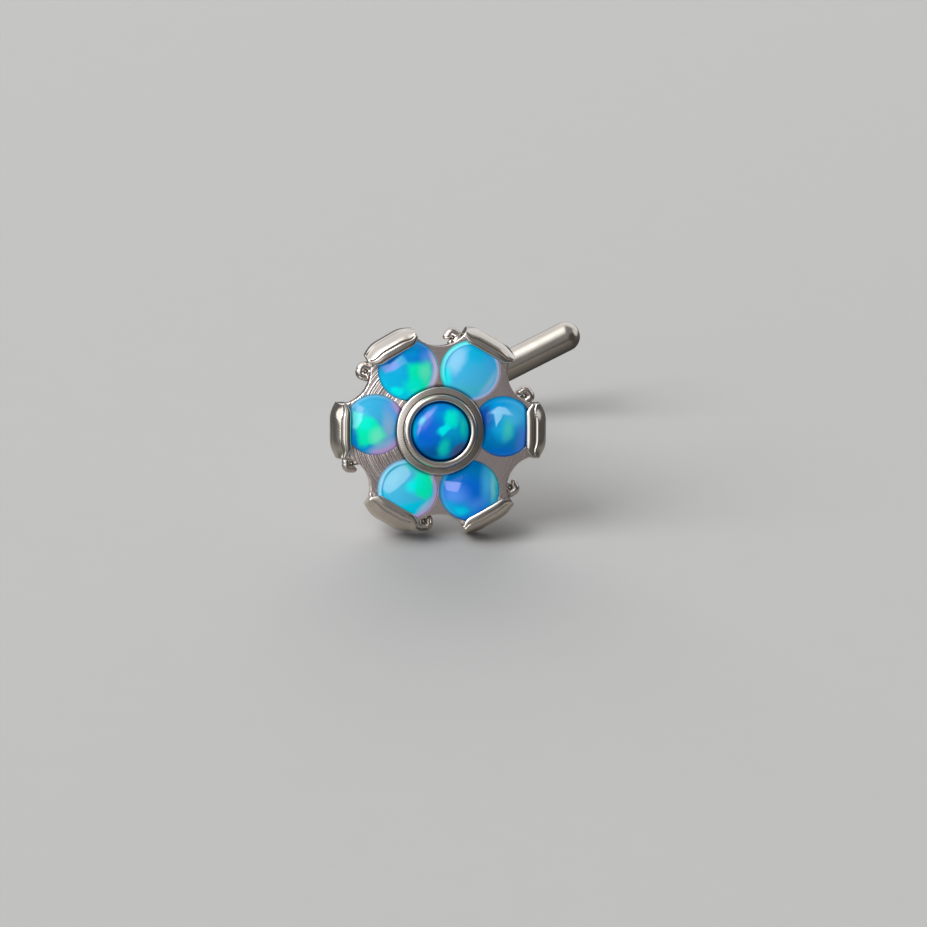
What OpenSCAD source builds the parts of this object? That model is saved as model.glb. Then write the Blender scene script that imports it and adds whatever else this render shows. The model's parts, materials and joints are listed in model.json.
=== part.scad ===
// Nose stud: a flower of seven round opals on a post that ends in a bent arm.
// It stands as it rests on a table, on its two lower tabs and the elbow of its post.
// The head is drawn lying flat, petals up, and is then turned to lean back.

/* [Opals] */
// Diameter of each round opal
opal_d = 1.5; // [1.40:0.02:1.56]
// Height of a petal opal's dome above the plate
petal_dome = 0.5; // [0.40:0.02:0.56]
// Depth to which a petal opal is sunk into the plate
petal_sink = 0.3; // [0.20:0.02:0.36]
// Height of the centre opal's dome above its girdle
centre_dome = 0.42; // [0.30:0.02:0.50]
// Height of the centre opal's girdle above the plate
centre_girdle = 0.36; // [0.28:0.02:0.40]
// Gap left round every opal in its seat
seat_gap = 0.02; // [0.01:0.005:0.03]

/* [Plate] */
// Radius of the plate's six lobes
plate_r = 2.52; // [2.48:0.02:2.60]
// Thickness of the plate
plate_t = 0.5; // [0.46:0.02:0.60]
// Radius of the scallops between the lobes
scallop_r = 0.82; // [0.76:0.02:0.86]
// Distance from the head's middle to a scallop's middle
scallop_ring = 2.95; // [2.92:0.01:3.00]

/* [Tabs] */
// Distance from the head's middle to a tab's outer face
tab_out = 2.735; // [2.70:0.005:2.80]
// Distance from the head's middle to the lip that holds a petal opal
tab_lip = 2.23; // [2.20:0.01:2.28]
// Height of a tab above the plate
tab_top = 0.44; // [0.40:0.01:0.48]
// Width of a tab where it is widest
tab_w = 1.4; // [1.30:0.02:1.44]

/* [Centre bezel] */
// Outer radius of the rounded rim round the centre opal
rim_r = 0.93; // [0.89:0.01:0.95]
// Height of that rim above the plate
rim_top = 0.52; // [0.46:0.02:0.60]
// Outer radius of the collar below the rim
collar_r = 1.11; // [1.06:0.01:1.14]
// Height of the collar above the plate
collar_top = 0.36; // [0.34:0.01:0.38]

/* [Hooks] */
// Outer radius of the small curled hook at the end of each tab
hook_r = 0.24; // [0.20:0.01:0.24]
// Radius of the eye in a hook
hook_eye_r = 0.08; // [0.06:0.01:0.10]
// Thickness of a hook along the head's axis
hook_t = 0.3; // [0.20:0.02:0.36]

/* [Post] */
// Diameter of the post's wire, 20 gauge
wire_d = 0.8; // [0.78:0.02:0.84]
// Length of post between the plate's back and the arm, where the nostril sits
wear_length = 6.5; // [6.0:0.5:7.5]
// Radius of the elbow, measured at the wire's middle
elbow_r = 1.0; // [0.9:0.1:1.2]
// Length of the arm, from the post's middle to the arm's rounded tip
arm_length = 5.05; // [4.5:0.05:5.5]
// Angle of the arm above the level, seen from the front
arm_angle = 26.7; // [20:0.1:32]

/* [Hidden] */
$fn = 96;

opal_r = opal_d / 2;
wire_r = wire_d / 2;
petals = 6;
petal_step = 360 / petals;

// Where each petal opal sits: [angle from the head's right, distance from its middle].
// The opals of the real stud are set by hand, a little off an even ring.
PETAL_ANGLE = 0;
PETAL_RING = 1;
petal_places = [
    [3.3, 1.635],
    [62.3, 1.691],
    [117.2, 1.709],
    [174.9, 1.631],
    [242.1, 1.692],
    [297.0, 1.709]
];

// Boss and blind bore at the plate's back that the post is pressed into
boss_r = 0.75;
boss_t = 0.2;
boss_chamfer = 0.08;
bore_depth = 0.35;
bore_gap = 0.015;

// Centre bezel
centre_foot = 0.1;
rim_round = (rim_r - opal_r - seat_gap) / 2;
collar_round = 0.09;

// Section of a tab, as [distance from the head's middle, height]
tab_bevel = 0.03;
tab_land = 0.22;
tab_section = [
    [1.9, -plate_t],
    [tab_out - tab_bevel, -plate_t],
    [tab_out, -plate_t + tab_bevel],
    [tab_out, -0.02],
    [tab_out - 0.06, 0.16],
    [tab_lip + tab_land + 0.08, tab_top - 0.08],
    [tab_lip + tab_land, tab_top - 0.01],
    [tab_lip + 0.08, tab_top],
    [tab_lip + 0.02, tab_top - 0.04],
    [tab_lip, tab_top - 0.11],
    [tab_lip, -0.1],
    [1.9, -0.1]
];

// Plan of half a tab, as [distance from the head's middle, distance from the tab's middle]
tab_corner = [tab_out - 0.035, 0.36 * tab_w];
tab_plan_half = [
    [1.9, 0.41 * tab_w],
    [tab_lip + 0.02, 0.45 * tab_w],
    [tab_lip + 0.23, 0.5 * tab_w],
    [tab_out - 0.135, 0.47 * tab_w],
    tab_corner,
    [tab_out, 0.18 * tab_w]
];
tab_plan = concat(
    tab_plan_half,
    [for (i = [len(tab_plan_half) - 1:-1:0]) [tab_plan_half[i][0], -tab_plan_half[i][1]]]
);

// Hooks
hook_ring = 2.36;
hook_angle = 21.2;
hook_gap_from = 195;
hook_gap_to = 230;

// Post
post_top = -plate_t - boss_t + bore_depth - bore_gap;
arm_z = -plate_t - wear_length - wire_r;
elbow_z = arm_z + elbow_r;

// How the stud rests. The head leans back until the elbow is as low as the two lower tabs.
tab_drop = tab_corner[0] * cos(30) + tab_corner[1] * sin(30);
tab_drop_z = -plate_t;
function tab_low(lean) = -tab_drop * cos(lean) + tab_drop_z * sin(lean);
function elbow_low(lean) =
    let (rise = elbow_r * sin(arm_angle) * cos(lean))
    let (sag = elbow_r * sin(lean))
    elbow_z * sin(lean) + rise - norm([rise, sag]) - wire_r;
function settle(low, high, steps) =
    let (middle = (low + high) / 2)
    steps == 0 ? middle
    : elbow_low(middle) > tab_low(middle) ? settle(middle, high, steps - 1)
    : settle(low, middle, steps - 1);
lean = settle(1, 60, 40);

// Reach of the resting stud to each side, for the origin under the middle of its box
tip_run = arm_length - wire_r;
left_reach = -tab_out;
right_reach = tip_run * cos(arm_angle) + wire_r;
front_corner = [tab_plan_half[2][0] * cos(30) + tab_plan_half[2][1] * sin(30), tab_top - 0.01];
front_reach = -front_corner[0] * sin(lean) - front_corner[1] * cos(lean);
back_reach = tip_run * sin(arm_angle) * sin(lean) - arm_z * cos(lean) + wire_r;
rest_at = [
    -(left_reach + right_reach) / 2,
    -(front_reach + back_reach) / 2,
    -tab_low(lean)
];

// Turns and lifts the flat-drawn head to where it rests
module rest() {
    translate(rest_at) rotate([90 - lean, 0, 0]) children();
}

// A round opal with its girdle at height 0, grown by gap on every side
module cabochon(dome, skirt, gap = 0) {
    ball_r = (opal_r * opal_r + dome * dome) / (2 * dome);
    translate([0, 0, -skirt - gap]) cylinder(r = opal_r + gap, h = skirt + gap);
    intersection() {
        translate([0, 0, dome - ball_r]) sphere(r = ball_r + gap);
        translate([0, 0, -gap / 2]) cylinder(r = opal_r + gap, h = dome + 2 * gap);
    }
}

module petal_shape(i, gap = 0) {
    rotate([0, 0, petal_places[i][PETAL_ANGLE]])
        translate([petal_places[i][PETAL_RING], 0, 0])
            cabochon(petal_dome, petal_sink, gap);
}

module centre_shape(gap = 0) {
    translate([0, 0, centre_girdle]) cabochon(centre_dome, centre_girdle - centre_foot, gap);
}

// Section of the centre bezel: a rounded rim with a lower rounded collar round it
module bezel_section() {
    rim_in = opal_r + seat_gap;
    translate([0, -plate_t / 2]) square([collar_r, plate_t / 2 + collar_top - collar_round]);
    square([collar_r - collar_round, collar_top]);
    translate([collar_r - collar_round, collar_top - collar_round]) circle(r = collar_round);
    square([rim_r, rim_top - rim_round]);
    translate([rim_in + rim_round, rim_top - rim_round]) circle(r = rim_round);
}

module bezel() {
    difference() {
        rotate_extrude() bezel_section();
        translate([0, 0, centre_foot - seat_gap]) cylinder(r = opal_r + seat_gap, h = 1);
    }
}

module tab() {
    intersection() {
        translate([0, tab_w, 0]) rotate([90, 0, 0]) linear_extrude(2 * tab_w) polygon(tab_section);
        translate([0, 0, -1]) linear_extrude(2) polygon(tab_plan);
    }
}

// Small curl at the anticlockwise end of a tab, with its open side towards the plate
module hook() {
    rotate([0, 0, hook_angle]) translate([hook_ring, 0, -plate_t]) difference() {
        cylinder(r = hook_r, h = hook_t);
        translate([0, 0, -1]) cylinder(r = hook_eye_r, h = 2);
        translate([0, 0, -1]) linear_extrude(2) polygon([
            [0, 0],
            [cos(hook_gap_from), -sin(hook_gap_from)],
            [cos(hook_gap_to), -sin(hook_gap_to)]
        ]);
    }
}

module scallops() {
    for (i = [0:petals - 1])
        rotate([0, 0, (i + 0.5) * petal_step])
            translate([scallop_ring, 0, -1]) cylinder(r = scallop_r, h = 2);
}

module boss() {
    translate([0, 0, -plate_t - boss_t]) cylinder(r1 = boss_r - boss_chamfer, r2 = boss_r, h = boss_t);
}

module setting_shape() {
    difference() {
        union() {
            difference() {
                union() {
                    translate([0, 0, -plate_t]) cylinder(r = plate_r, h = plate_t);
                    for (i = [0:petals - 1]) rotate([0, 0, i * petal_step]) tab();
                }
                scallops();
            }
            for (i = [0:petals - 1]) rotate([0, 0, i * petal_step]) hook();
            bezel();
            boss();
        }
        for (i = [0:petals - 1]) petal_shape(i, seat_gap);
        translate([0, 0, -plate_t - boss_t - 1]) cylinder(r = wire_r + bore_gap, h = bore_depth + 1);
    }
}

// Round rod standing on the origin, with a half-round end
module tip_rod(length) {
    rotate_extrude() {
        square([wire_r, length]);
        translate([0, length]) intersection() {
            circle(r = wire_r);
            square(wire_r);
        }
    }
}

// Quarter bend that joins the post to the arm
module elbow() {
    translate([elbow_r, 0, elbow_z]) rotate([90, 0, 0]) rotate([0, 0, 180])
        rotate_extrude(angle = 90) translate([elbow_r, 0]) circle(r = wire_r);
}

// Post, elbow and arm of one wire
module post_shape() {
    rotate([0, 0, arm_angle]) {
        translate([0, 0, elbow_z]) cylinder(r = wire_r, h = post_top - elbow_z);
        elbow();
        translate([elbow_r, 0, arm_z]) rotate([0, 90, 0]) tip_rod(tip_run - elbow_r);
    }
}

module setting() {
    color("silver") rest() setting_shape();
}

module post() {
    color("darkgray") rest() post_shape();
}

module centre_opal() {
    color("royalblue") rest() centre_shape();
}

module petal_opal(i) {
    color("deepskyblue") rest() petal_shape(i);
}

setting();
post();
centre_opal();
petal_opal(0);  // petal_opal_1
petal_opal(1);  // petal_opal_2
petal_opal(2);  // petal_opal_3
petal_opal(3);  // petal_opal_4
petal_opal(4);  // petal_opal_5
petal_opal(5);  // petal_opal_6
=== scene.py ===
"""Nose stud: a flower of seven round opals on a wire post that ends in a bent arm.

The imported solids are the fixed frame. Every piece here is drawn in the head's own axes, in
millimetres, with the head lying flat and its petals up, and is then set in place in metres.
"""
import json
import logging
import math
from collections.abc import Callable, Iterable, Sequence
from dataclasses import dataclass
from enum import Enum

import bmesh
import bpy
from mathutils import Matrix, Vector
from mathutils.geometry import tessellate_polygon


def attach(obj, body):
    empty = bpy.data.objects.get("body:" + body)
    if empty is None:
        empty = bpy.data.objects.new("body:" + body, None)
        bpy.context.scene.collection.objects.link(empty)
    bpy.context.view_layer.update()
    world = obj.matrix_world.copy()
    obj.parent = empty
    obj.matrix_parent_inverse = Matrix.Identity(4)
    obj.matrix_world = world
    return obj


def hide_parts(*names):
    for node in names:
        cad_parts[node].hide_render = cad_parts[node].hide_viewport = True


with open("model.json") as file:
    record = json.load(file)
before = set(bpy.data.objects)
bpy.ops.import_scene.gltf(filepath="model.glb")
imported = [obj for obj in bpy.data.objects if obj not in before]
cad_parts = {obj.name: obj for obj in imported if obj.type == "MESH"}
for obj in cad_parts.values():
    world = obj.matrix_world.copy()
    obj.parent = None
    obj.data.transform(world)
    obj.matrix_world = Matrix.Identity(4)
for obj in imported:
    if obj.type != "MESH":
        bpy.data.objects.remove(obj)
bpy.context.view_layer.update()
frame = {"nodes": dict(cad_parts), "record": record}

log = logging.getLogger("nose_stud")

MM = 0.001
PETALS = 6
PETAL_STEP = math.tau / PETALS
Colour = tuple[float, float, float]
Point2 = tuple[float, float]
Point3 = tuple[float, float, float]
Sockets = dict[str, bpy.types.NodeSocket]


def srgb(red: int, green: int, blue: int) -> Colour:
    """Turns a screen colour into the linear values that shaders use.

    Args:
        red, green, blue: the screen values, 0 to 255.

    Returns:
        The three linear values, 0 to 1.
    """
    def linear(value: int) -> float:
        """One channel, from its screen value to its linear one."""
        share = value / 255
        return share / 12.92 if share <= 0.04045 else ((share + 0.055) / 1.055) ** 2.4

    return linear(red), linear(green), linear(blue)


def shaded(colour: Colour, tone: float) -> Colour:
    """Gives a colour made darker by a tone below 1, or lighter by one above it."""
    red, green, blue = colour
    return red * tone, green * tone, blue * tone


class Slot(Enum):
    """The record's material slots."""

    SETTING = "setting_metal"
    POST = "post_wire"
    CENTRE = "centre_opal"
    PETAL = "petal_opal"


class Socket(Enum):
    """The types of socket that the node groups take and give."""

    FLOAT = "NodeSocketFloat"
    INT = "NodeSocketInt"
    VECTOR = "NodeSocketVector"
    GEOMETRY = "NodeSocketGeometry"
    MATERIAL = "NodeSocketMaterial"


class Hue(Enum):
    """The colours that play in the opals."""

    INK = srgb(6, 22, 60)
    PLUM = srgb(72, 62, 92)
    NAVY = srgb(20, 66, 160)
    ROYAL = srgb(8, 94, 208)
    BLUE = srgb(14, 116, 212)
    AZURE = srgb(0, 150, 216)
    PETROL = srgb(0, 114, 178)
    CERULEAN = srgb(18, 178, 224)
    SKY = srgb(72, 180, 226)
    PALE_SKY = srgb(146, 208, 242)
    ICE = srgb(112, 244, 242)
    CYAN = srgb(0, 202, 234)
    AQUA = srgb(0, 242, 240)
    TEAL = srgb(60, 192, 190)
    SEA = srgb(10, 200, 190)
    MINT = srgb(0, 242, 214)
    GREEN = srgb(6, 238, 184)
    LIME = srgb(112, 240, 200)
    VIOLET = srgb(82, 116, 216)
    PERIWINKLE = srgb(92, 156, 244)
    LAVENDER = srgb(142, 166, 248)
    MIST = srgb(168, 192, 220)
    PINK = srgb(196, 152, 206)
    PEARL = srgb(204, 192, 222)


@dataclass(frozen=True)
class HeadFrame:
    """The axes in which the head is drawn: X to the right, Y up the flower, Z out of its face."""

    centre: Vector
    front: Vector

    @classmethod
    def from_record(cls, record: dict, depth: float) -> "HeadFrame":
        """Finds the head from the post's mount, whose axis runs from the head to the arm.

        Args:
            record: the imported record.
            depth: how far behind the plate's face the mount's middle lies, in millimetres.

        Returns:
            The head's frame.
        """
        mount = next(m for m in record["mounts"] if m["name"] == "post")
        front = -Vector(mount["axis"]).normalized()
        return cls(Vector(mount["pos_m"]) + front * depth * MM, front)

    @property
    def right(self) -> Vector:
        """The head's right as seen from the front."""
        return Vector((1, 0, 0))

    @property
    def up(self) -> Vector:
        """The way up the flower's face."""
        return self.front.cross(self.right)

    def turn(self) -> Matrix:
        """The 3x3 rotation from the head's axes to the row's."""
        return Matrix((self.right, self.up, self.front)).transposed()

    def placement(self) -> Matrix:
        """The 4x4 matrix that sets millimetres in the head's axes in place in metres."""
        return Matrix.Translation(self.centre) @ (self.turn() * MM).to_4x4()

    def span(self, node: str) -> tuple[Vector, Vector]:
        """Measures a CAD node in the head's axes.

        Args:
            node: the node's name.

        Returns:
            Its lowest and highest corner, in millimetres.
        """
        into_head = self.placement().inverted()
        points = [into_head @ v.co for v in frame["nodes"][node].data.vertices]
        low = Vector(min(p[i] for p in points) for i in range(3))
        high = Vector(max(p[i] for p in points) for i in range(3))
        return low, high


class Wiring:
    """Adds nodes to a shader or geometry tree and joins their sockets."""

    MEASURES = ("LENGTH", "DISTANCE", "DOT_PRODUCT")

    def __init__(self, tree: bpy.types.NodeTree) -> None:
        """Keeps the tree that the nodes go into."""
        self.tree = tree

    def add(self, kind: str, **settings: object) -> bpy.types.Node:
        """Adds a node.

        Args:
            kind: the node's type name.
            settings: properties to set on the node.

        Returns:
            The new node.
        """
        node = self.tree.nodes.new(kind)
        for name, value in settings.items():
            setattr(node, name, value)
        return node

    def feed(self, node: bpy.types.Node, **inputs: object) -> bpy.types.Node:
        """Gives a node's inputs a value or a link.

        Args:
            node: the node.
            inputs: what goes into each socket. An underscore stands for a space, and a name
                such as in1 for the socket at that place.

        Returns:
            The same node.
        """
        for name, value in inputs.items():
            if name.startswith("in") and name[2:].isdigit():
                socket = node.inputs[int(name[2:])]
            else:
                socket = node.inputs[name.replace("_", " ")]
            if isinstance(value, bpy.types.NodeSocket):
                self.tree.links.new(value, socket)
            else:
                socket.default_value = value
        return node

    def scalar(self, kind: str, first: object, second: object = 0.0) -> bpy.types.NodeSocket:
        """Works out one step of arithmetic on two numbers and gives its result."""
        node = self.add("ShaderNodeMath", operation=kind)
        return self.feed(node, in0=first, in1=second).outputs[0]

    def times(self, first: object, *others: object) -> object:
        """Multiplies numbers.

        Args:
            first, others: numbers or sockets.

        Returns:
            The product's socket.
        """
        product = first
        for other in others:
            product = self.scalar("MULTIPLY", product, other)
        return product

    def rest(self, share: object) -> bpy.types.NodeSocket:
        """Gives what a share leaves of 1."""
        return self.scalar("SUBTRACT", 1.0, share)

    def random(self, low: object, high: object, seed: object) -> bpy.types.NodeSocket:
        """Draws a number between two for each point."""
        node = self.add("FunctionNodeRandomValue", data_type="FLOAT")
        return self.feed(node, in2=low, in3=high, Seed=seed).outputs[1]

    def vector(self, kind: str, first: object, second: object = (0, 0, 0)) -> bpy.types.NodeSocket:
        """Works out one step of arithmetic on two vectors and gives its result."""
        node = self.feed(self.add("ShaderNodeVectorMath", operation=kind), in0=first, in1=second)
        return node.outputs["Value" if kind in self.MEASURES else "Vector"]

    def scale(self, place: object, factor: object) -> bpy.types.NodeSocket:
        """Makes a vector longer or shorter by a factor."""
        node = self.add("ShaderNodeVectorMath", operation="SCALE")
        return self.feed(node, in0=place, Scale=factor).outputs["Vector"]

    def level(self, place: object) -> bpy.types.NodeSocket:
        """Moves a point straight down or up to the plane of X and Y."""
        return self.vector("MULTIPLY", place, (1, 1, 0))

    def from_axis(self, place: object) -> bpy.types.NodeSocket:
        """Measures how far a point is from the Z axis."""
        return self.vector("LENGTH", self.level(place))

    def combine(self, x: object = 0.0, y: object = 0.0, z: object = 0.0) -> bpy.types.NodeSocket:
        """Makes a vector of three numbers."""
        return self.feed(self.add("ShaderNodeCombineXYZ"), X=x, Y=y, Z=z).outputs[0]

    def split(self, place: object) -> bpy.types.NodeOutputs:
        """Gives a vector's three numbers, to be picked by their axes."""
        return self.feed(self.add("ShaderNodeSeparateXYZ"), Vector=place).outputs

    def ease(self, value: object, low: object, high: object,
             least: object = 0.0) -> bpy.types.NodeSocket:
        """Turns a value into a smooth step, from the least at low to 1 at high."""
        node = self.add("ShaderNodeMapRange", interpolation_type="SMOOTHSTEP")
        return self.feed(node, Value=value, From_Min=low, From_Max=high, To_Min=least).outputs[0]

    def blend(self, share: object, first: object, second: object,
              kind: str = "MIX") -> bpy.types.NodeSocket:
        """Mixes two colours by a share.

        Args:
            share: how much of the second colour shows.
            first, second: colours or sockets.
            kind: the way of mixing.

        Returns:
            The mixed colour's socket.
        """
        node = self.add("ShaderNodeMix", data_type="RGBA", blend_type=kind)
        colours = [c if isinstance(c, bpy.types.NodeSocket) else (*c, 1.0) for c in (first, second)]
        self.feed(node, in0=share, in6=colours[0], in7=colours[1])
        return node.outputs[2]

    def noise(self, place: object, scale: float, detail: float = 2.0) -> bpy.types.Node:
        """Adds a noise texture read at a place."""
        return self.feed(self.add("ShaderNodeTexNoise"), Vector=place, Scale=scale, Detail=detail)


class ShaderGroup:
    """A shared effect: a shader node group that is built once and whose outputs are numbers."""

    title: str
    inputs: dict[str, Socket]
    outputs: tuple[str, ...]
    _built: dict[str, bpy.types.NodeTree] = {}

    @classmethod
    def wire(cls, w: Wiring, given: Sockets) -> Sockets:
        """Wires the effect.

        Args:
            w: the group's wiring.
            given: its input sockets by name.

        Returns:
            Its output sockets by name.
        """
        raise NotImplementedError

    @classmethod
    def tree(cls) -> bpy.types.NodeTree:
        """Builds the group the first time that it is asked for.

        Returns:
            The node group.
        """
        if cls.title in cls._built:
            return cls._built[cls.title]
        tree = bpy.data.node_groups.new(cls.title, "ShaderNodeTree")
        for name, kind in cls.inputs.items():
            tree.interface.new_socket(name, in_out="INPUT", socket_type=kind.value)
        for name in cls.outputs:
            tree.interface.new_socket(name, in_out="OUTPUT", socket_type=Socket.FLOAT.value)
        w = Wiring(tree)
        source = w.add("NodeGroupInput").outputs
        results = cls.wire(w, {name: source[name] for name in cls.inputs})
        w.feed(w.add("NodeGroupOutput"), **results)
        cls._built[cls.title] = tree
        return tree

    @classmethod
    def use(cls, w: Wiring, **inputs: object) -> bpy.types.NodeOutputs:
        """Adds the group to a material and gives its outputs."""
        return w.feed(w.add("ShaderNodeGroup", node_tree=cls.tree()), **inputs).outputs


class HandledMetal(ShaderGroup):
    """Faint smudges and hairline scratches of handled metal."""

    title = "handled metal"
    inputs = {"Place": Socket.VECTOR, "Polish": Socket.FLOAT, "Smudges": Socket.FLOAT,
              "Scratches": Socket.FLOAT}
    outputs = ("Roughness", "Height")
    cloud_scale = 2.2
    cloud_detail = 4.0
    cloud_range = (0.35, 0.7)
    scratch_stretch = (3.0, 26.0, 9.0)
    scratch_scale = 1.6
    scratch_detail = 3.0

    @classmethod
    def wire(cls, w: Wiring, given: Sockets) -> Sockets:
        """Lays the smudges in clouds on the roughness and draws the scratches as a height.

        Args:
            w: the group's wiring.
            given: its input sockets by name.

        Returns:
            Its output sockets by name.
        """
        cloudy = w.noise(given["Place"], cls.cloud_scale, cls.cloud_detail).outputs[0]
        stretched = w.vector("MULTIPLY", given["Place"], cls.scratch_stretch)
        lines = w.noise(stretched, cls.scratch_scale, cls.scratch_detail).outputs[0]
        smudge = w.times(w.ease(cloudy, *cls.cloud_range), given["Smudges"])
        return {"Roughness": w.scalar("ADD", given["Polish"], smudge),
                "Height": w.times(lines, given["Scratches"])}


class TurnedRings(ShaderGroup):
    """Fine rings that a lathe tool leaves round the head's axis, on a slightly crowned face."""

    title = "turned rings"
    inputs = {"Place": Socket.VECTOR, "Pitch": Socket.FLOAT, "Depth": Socket.FLOAT,
              "Crown": Socket.FLOAT, "Rough Side": Socket.VECTOR, "Calm": Socket.FLOAT}
    outputs = ("Rings", "Radius", "Rough", "Height")
    ring_detail = 3.0
    wander = 0.6
    wander_scale = 0.5
    rough_range = (0.1, 0.9)

    @classmethod
    def wire(cls, w: Wiring, given: Sockets) -> Sockets:
        """Draws rings that wander a little and are calm away from the rough side.

        Args:
            w: the group's wiring.
            given: its input sockets by name.

        Returns:
            Its output sockets by name.
        """
        flat = w.level(given["Place"])
        radius = w.vector("LENGTH", flat)
        shift = w.times(w.noise(w.scale(flat, cls.wander_scale), 1.0).outputs[0], cls.wander)
        along = w.combine(w.scalar("DIVIDE", radius, given["Pitch"]), shift)
        rings = w.noise(along, 1.0, cls.ring_detail).outputs[0]
        side = w.vector("DOT_PRODUCT", w.vector("NORMALIZE", flat), given["Rough Side"])
        rough = w.ease(side, *cls.rough_range, given["Calm"])
        return {"Rings": rings, "Radius": radius, "Rough": rough,
                "Height": w.scalar("SUBTRACT", w.times(rings, given["Depth"], rough),
                                   w.times(radius, radius, given["Crown"]))}


class OpalFlash(ShaderGroup):
    """One flash of colour in an opal, with a broken edge, as a mask."""

    title = "opal flash"
    inputs = {"Place": Socket.VECTOR, "Middle": Socket.VECTOR, "Size": Socket.VECTOR,
              "Turn": Socket.FLOAT, "Softness": Socket.FLOAT, "Ragged": Socket.FLOAT,
              "Square": Socket.FLOAT, "Taper": Socket.FLOAT}
    outputs = ("Mask",)
    ragged_scale = 2.4
    least_width = 0.05

    @classmethod
    def wire(cls, w: Wiring, given: Sockets) -> Sockets:
        """Shoves the point about, turns and sizes it, and compares its reach with the flash's edge.

        Args:
            w: the group's wiring.
            given: its input sockets by name.

        Returns:
            Its output sockets by name.
        """
        rough = w.noise(given["Place"], cls.ragged_scale).outputs["Color"]
        shove = w.scale(w.vector("SUBTRACT", rough, (0.5, 0.5, 0.5)), given["Ragged"])
        place = w.vector("SUBTRACT", w.vector("ADD", given["Place"], shove), given["Middle"])
        turned = w.feed(w.add("ShaderNodeVectorRotate", rotation_type="Z_AXIS"), Vector=place,
                        Angle=given["Turn"])
        parts = w.split(w.vector("DIVIDE", turned.outputs[0], given["Size"]))
        width = w.scalar("ADD", 1.0, w.times(parts["Y"], given["Taper"]))
        width = w.scalar("MAXIMUM", width, cls.least_width)
        across = w.scalar("DIVIDE", w.scalar("ABSOLUTE", parts["X"]), width)
        along = w.scalar("ABSOLUTE", parts["Y"])
        reach = w.feed(w.add("ShaderNodeMix"), Factor=given["Square"],
                       A=w.vector("LENGTH", w.combine(across, along)),
                       B=w.scalar("MAXIMUM", across, along)).outputs[0]
        end = w.scalar("ADD", 1.0, given["Softness"])
        return {"Mask": w.rest(w.ease(reach, w.rest(given["Softness"]), end))}


def new_material(name: str) -> tuple[bpy.types.Material, Wiring, bpy.types.Node]:
    """Starts a node material.

    Args:
        name: the material's name.

    Returns:
        The material, its wiring and its Principled shader.
    """
    material = bpy.data.materials.new(name)
    material.use_nodes = True
    return material, Wiring(material.node_tree), material.node_tree.nodes["Principled BSDF"]


def head_place(w: Wiring, head: HeadFrame) -> bpy.types.NodeSocket:
    """Reads the point being shaded in the head's axes, in millimetres.

    Args:
        w: the material's wiring.
        head: the head's frame.

    Returns:
        The socket with the point.
    """
    back = head.turn().transposed()
    node = w.add("ShaderNodeMapping", vector_type="POINT")
    place = w.add("ShaderNodeTexCoord").outputs["Object"]
    w.feed(node, Vector=place, Location=-(back @ head.centre) / MM, Rotation=back.to_euler(),
           Scale=(1 / MM,) * 3)
    return node.outputs[0]


@dataclass(frozen=True)
class PolishedMetal:
    """Polished titanium, lightly handled. Inside a given radius of the head's axis it is painted dark, as
    shade inside the bezel's lip.
    """

    name: str
    colour: Colour = srgb(201, 196, 190)
    polish: float = 0.08
    smudges: float = 0.06
    scratches: float = 0.0015
    cloud_scale: float = 1.3
    cloud_range: Point2 = (0.3, 0.7)
    cloud_tone: float = 0.9
    shade_within: float | None = None
    shade_edge: float = 0.01
    shade_tone: float = 0.06

    def material(self, head: HeadFrame) -> bpy.types.Material:
        """Makes the finish.

        Args:
            head: the head's frame, in which the wear is laid out.

        Returns:
            The material.
        """
        made, w, shader = new_material(self.name)
        place = head_place(w, head)
        wear = HandledMetal.use(w, Place=place, Polish=self.polish, Smudges=self.smudges,
                                Scratches=self.scratches)
        clouds = w.ease(w.noise(place, self.cloud_scale).outputs[0], *self.cloud_range)
        colour = w.blend(clouds, self.colour, shaded(self.colour, self.cloud_tone))
        # painted shade: inside the given radius the colour is made nearly black, standing for shade inside
        # the bezel's lip
        if self.shade_within is not None:
            unshaded = w.ease(w.from_axis(place), self.shade_within - self.shade_edge,
                           self.shade_within + self.shade_edge)
            colour = w.blend(unshaded, shaded(self.colour, self.shade_tone), colour)
        bump = w.feed(w.add("ShaderNodeBump"), Height=wear["Height"], Distance=MM)
        w.feed(shader, Base_Color=colour, Metallic=1.0, Roughness=wear["Roughness"],
               Normal=bump.outputs[0])
        return made


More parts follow.
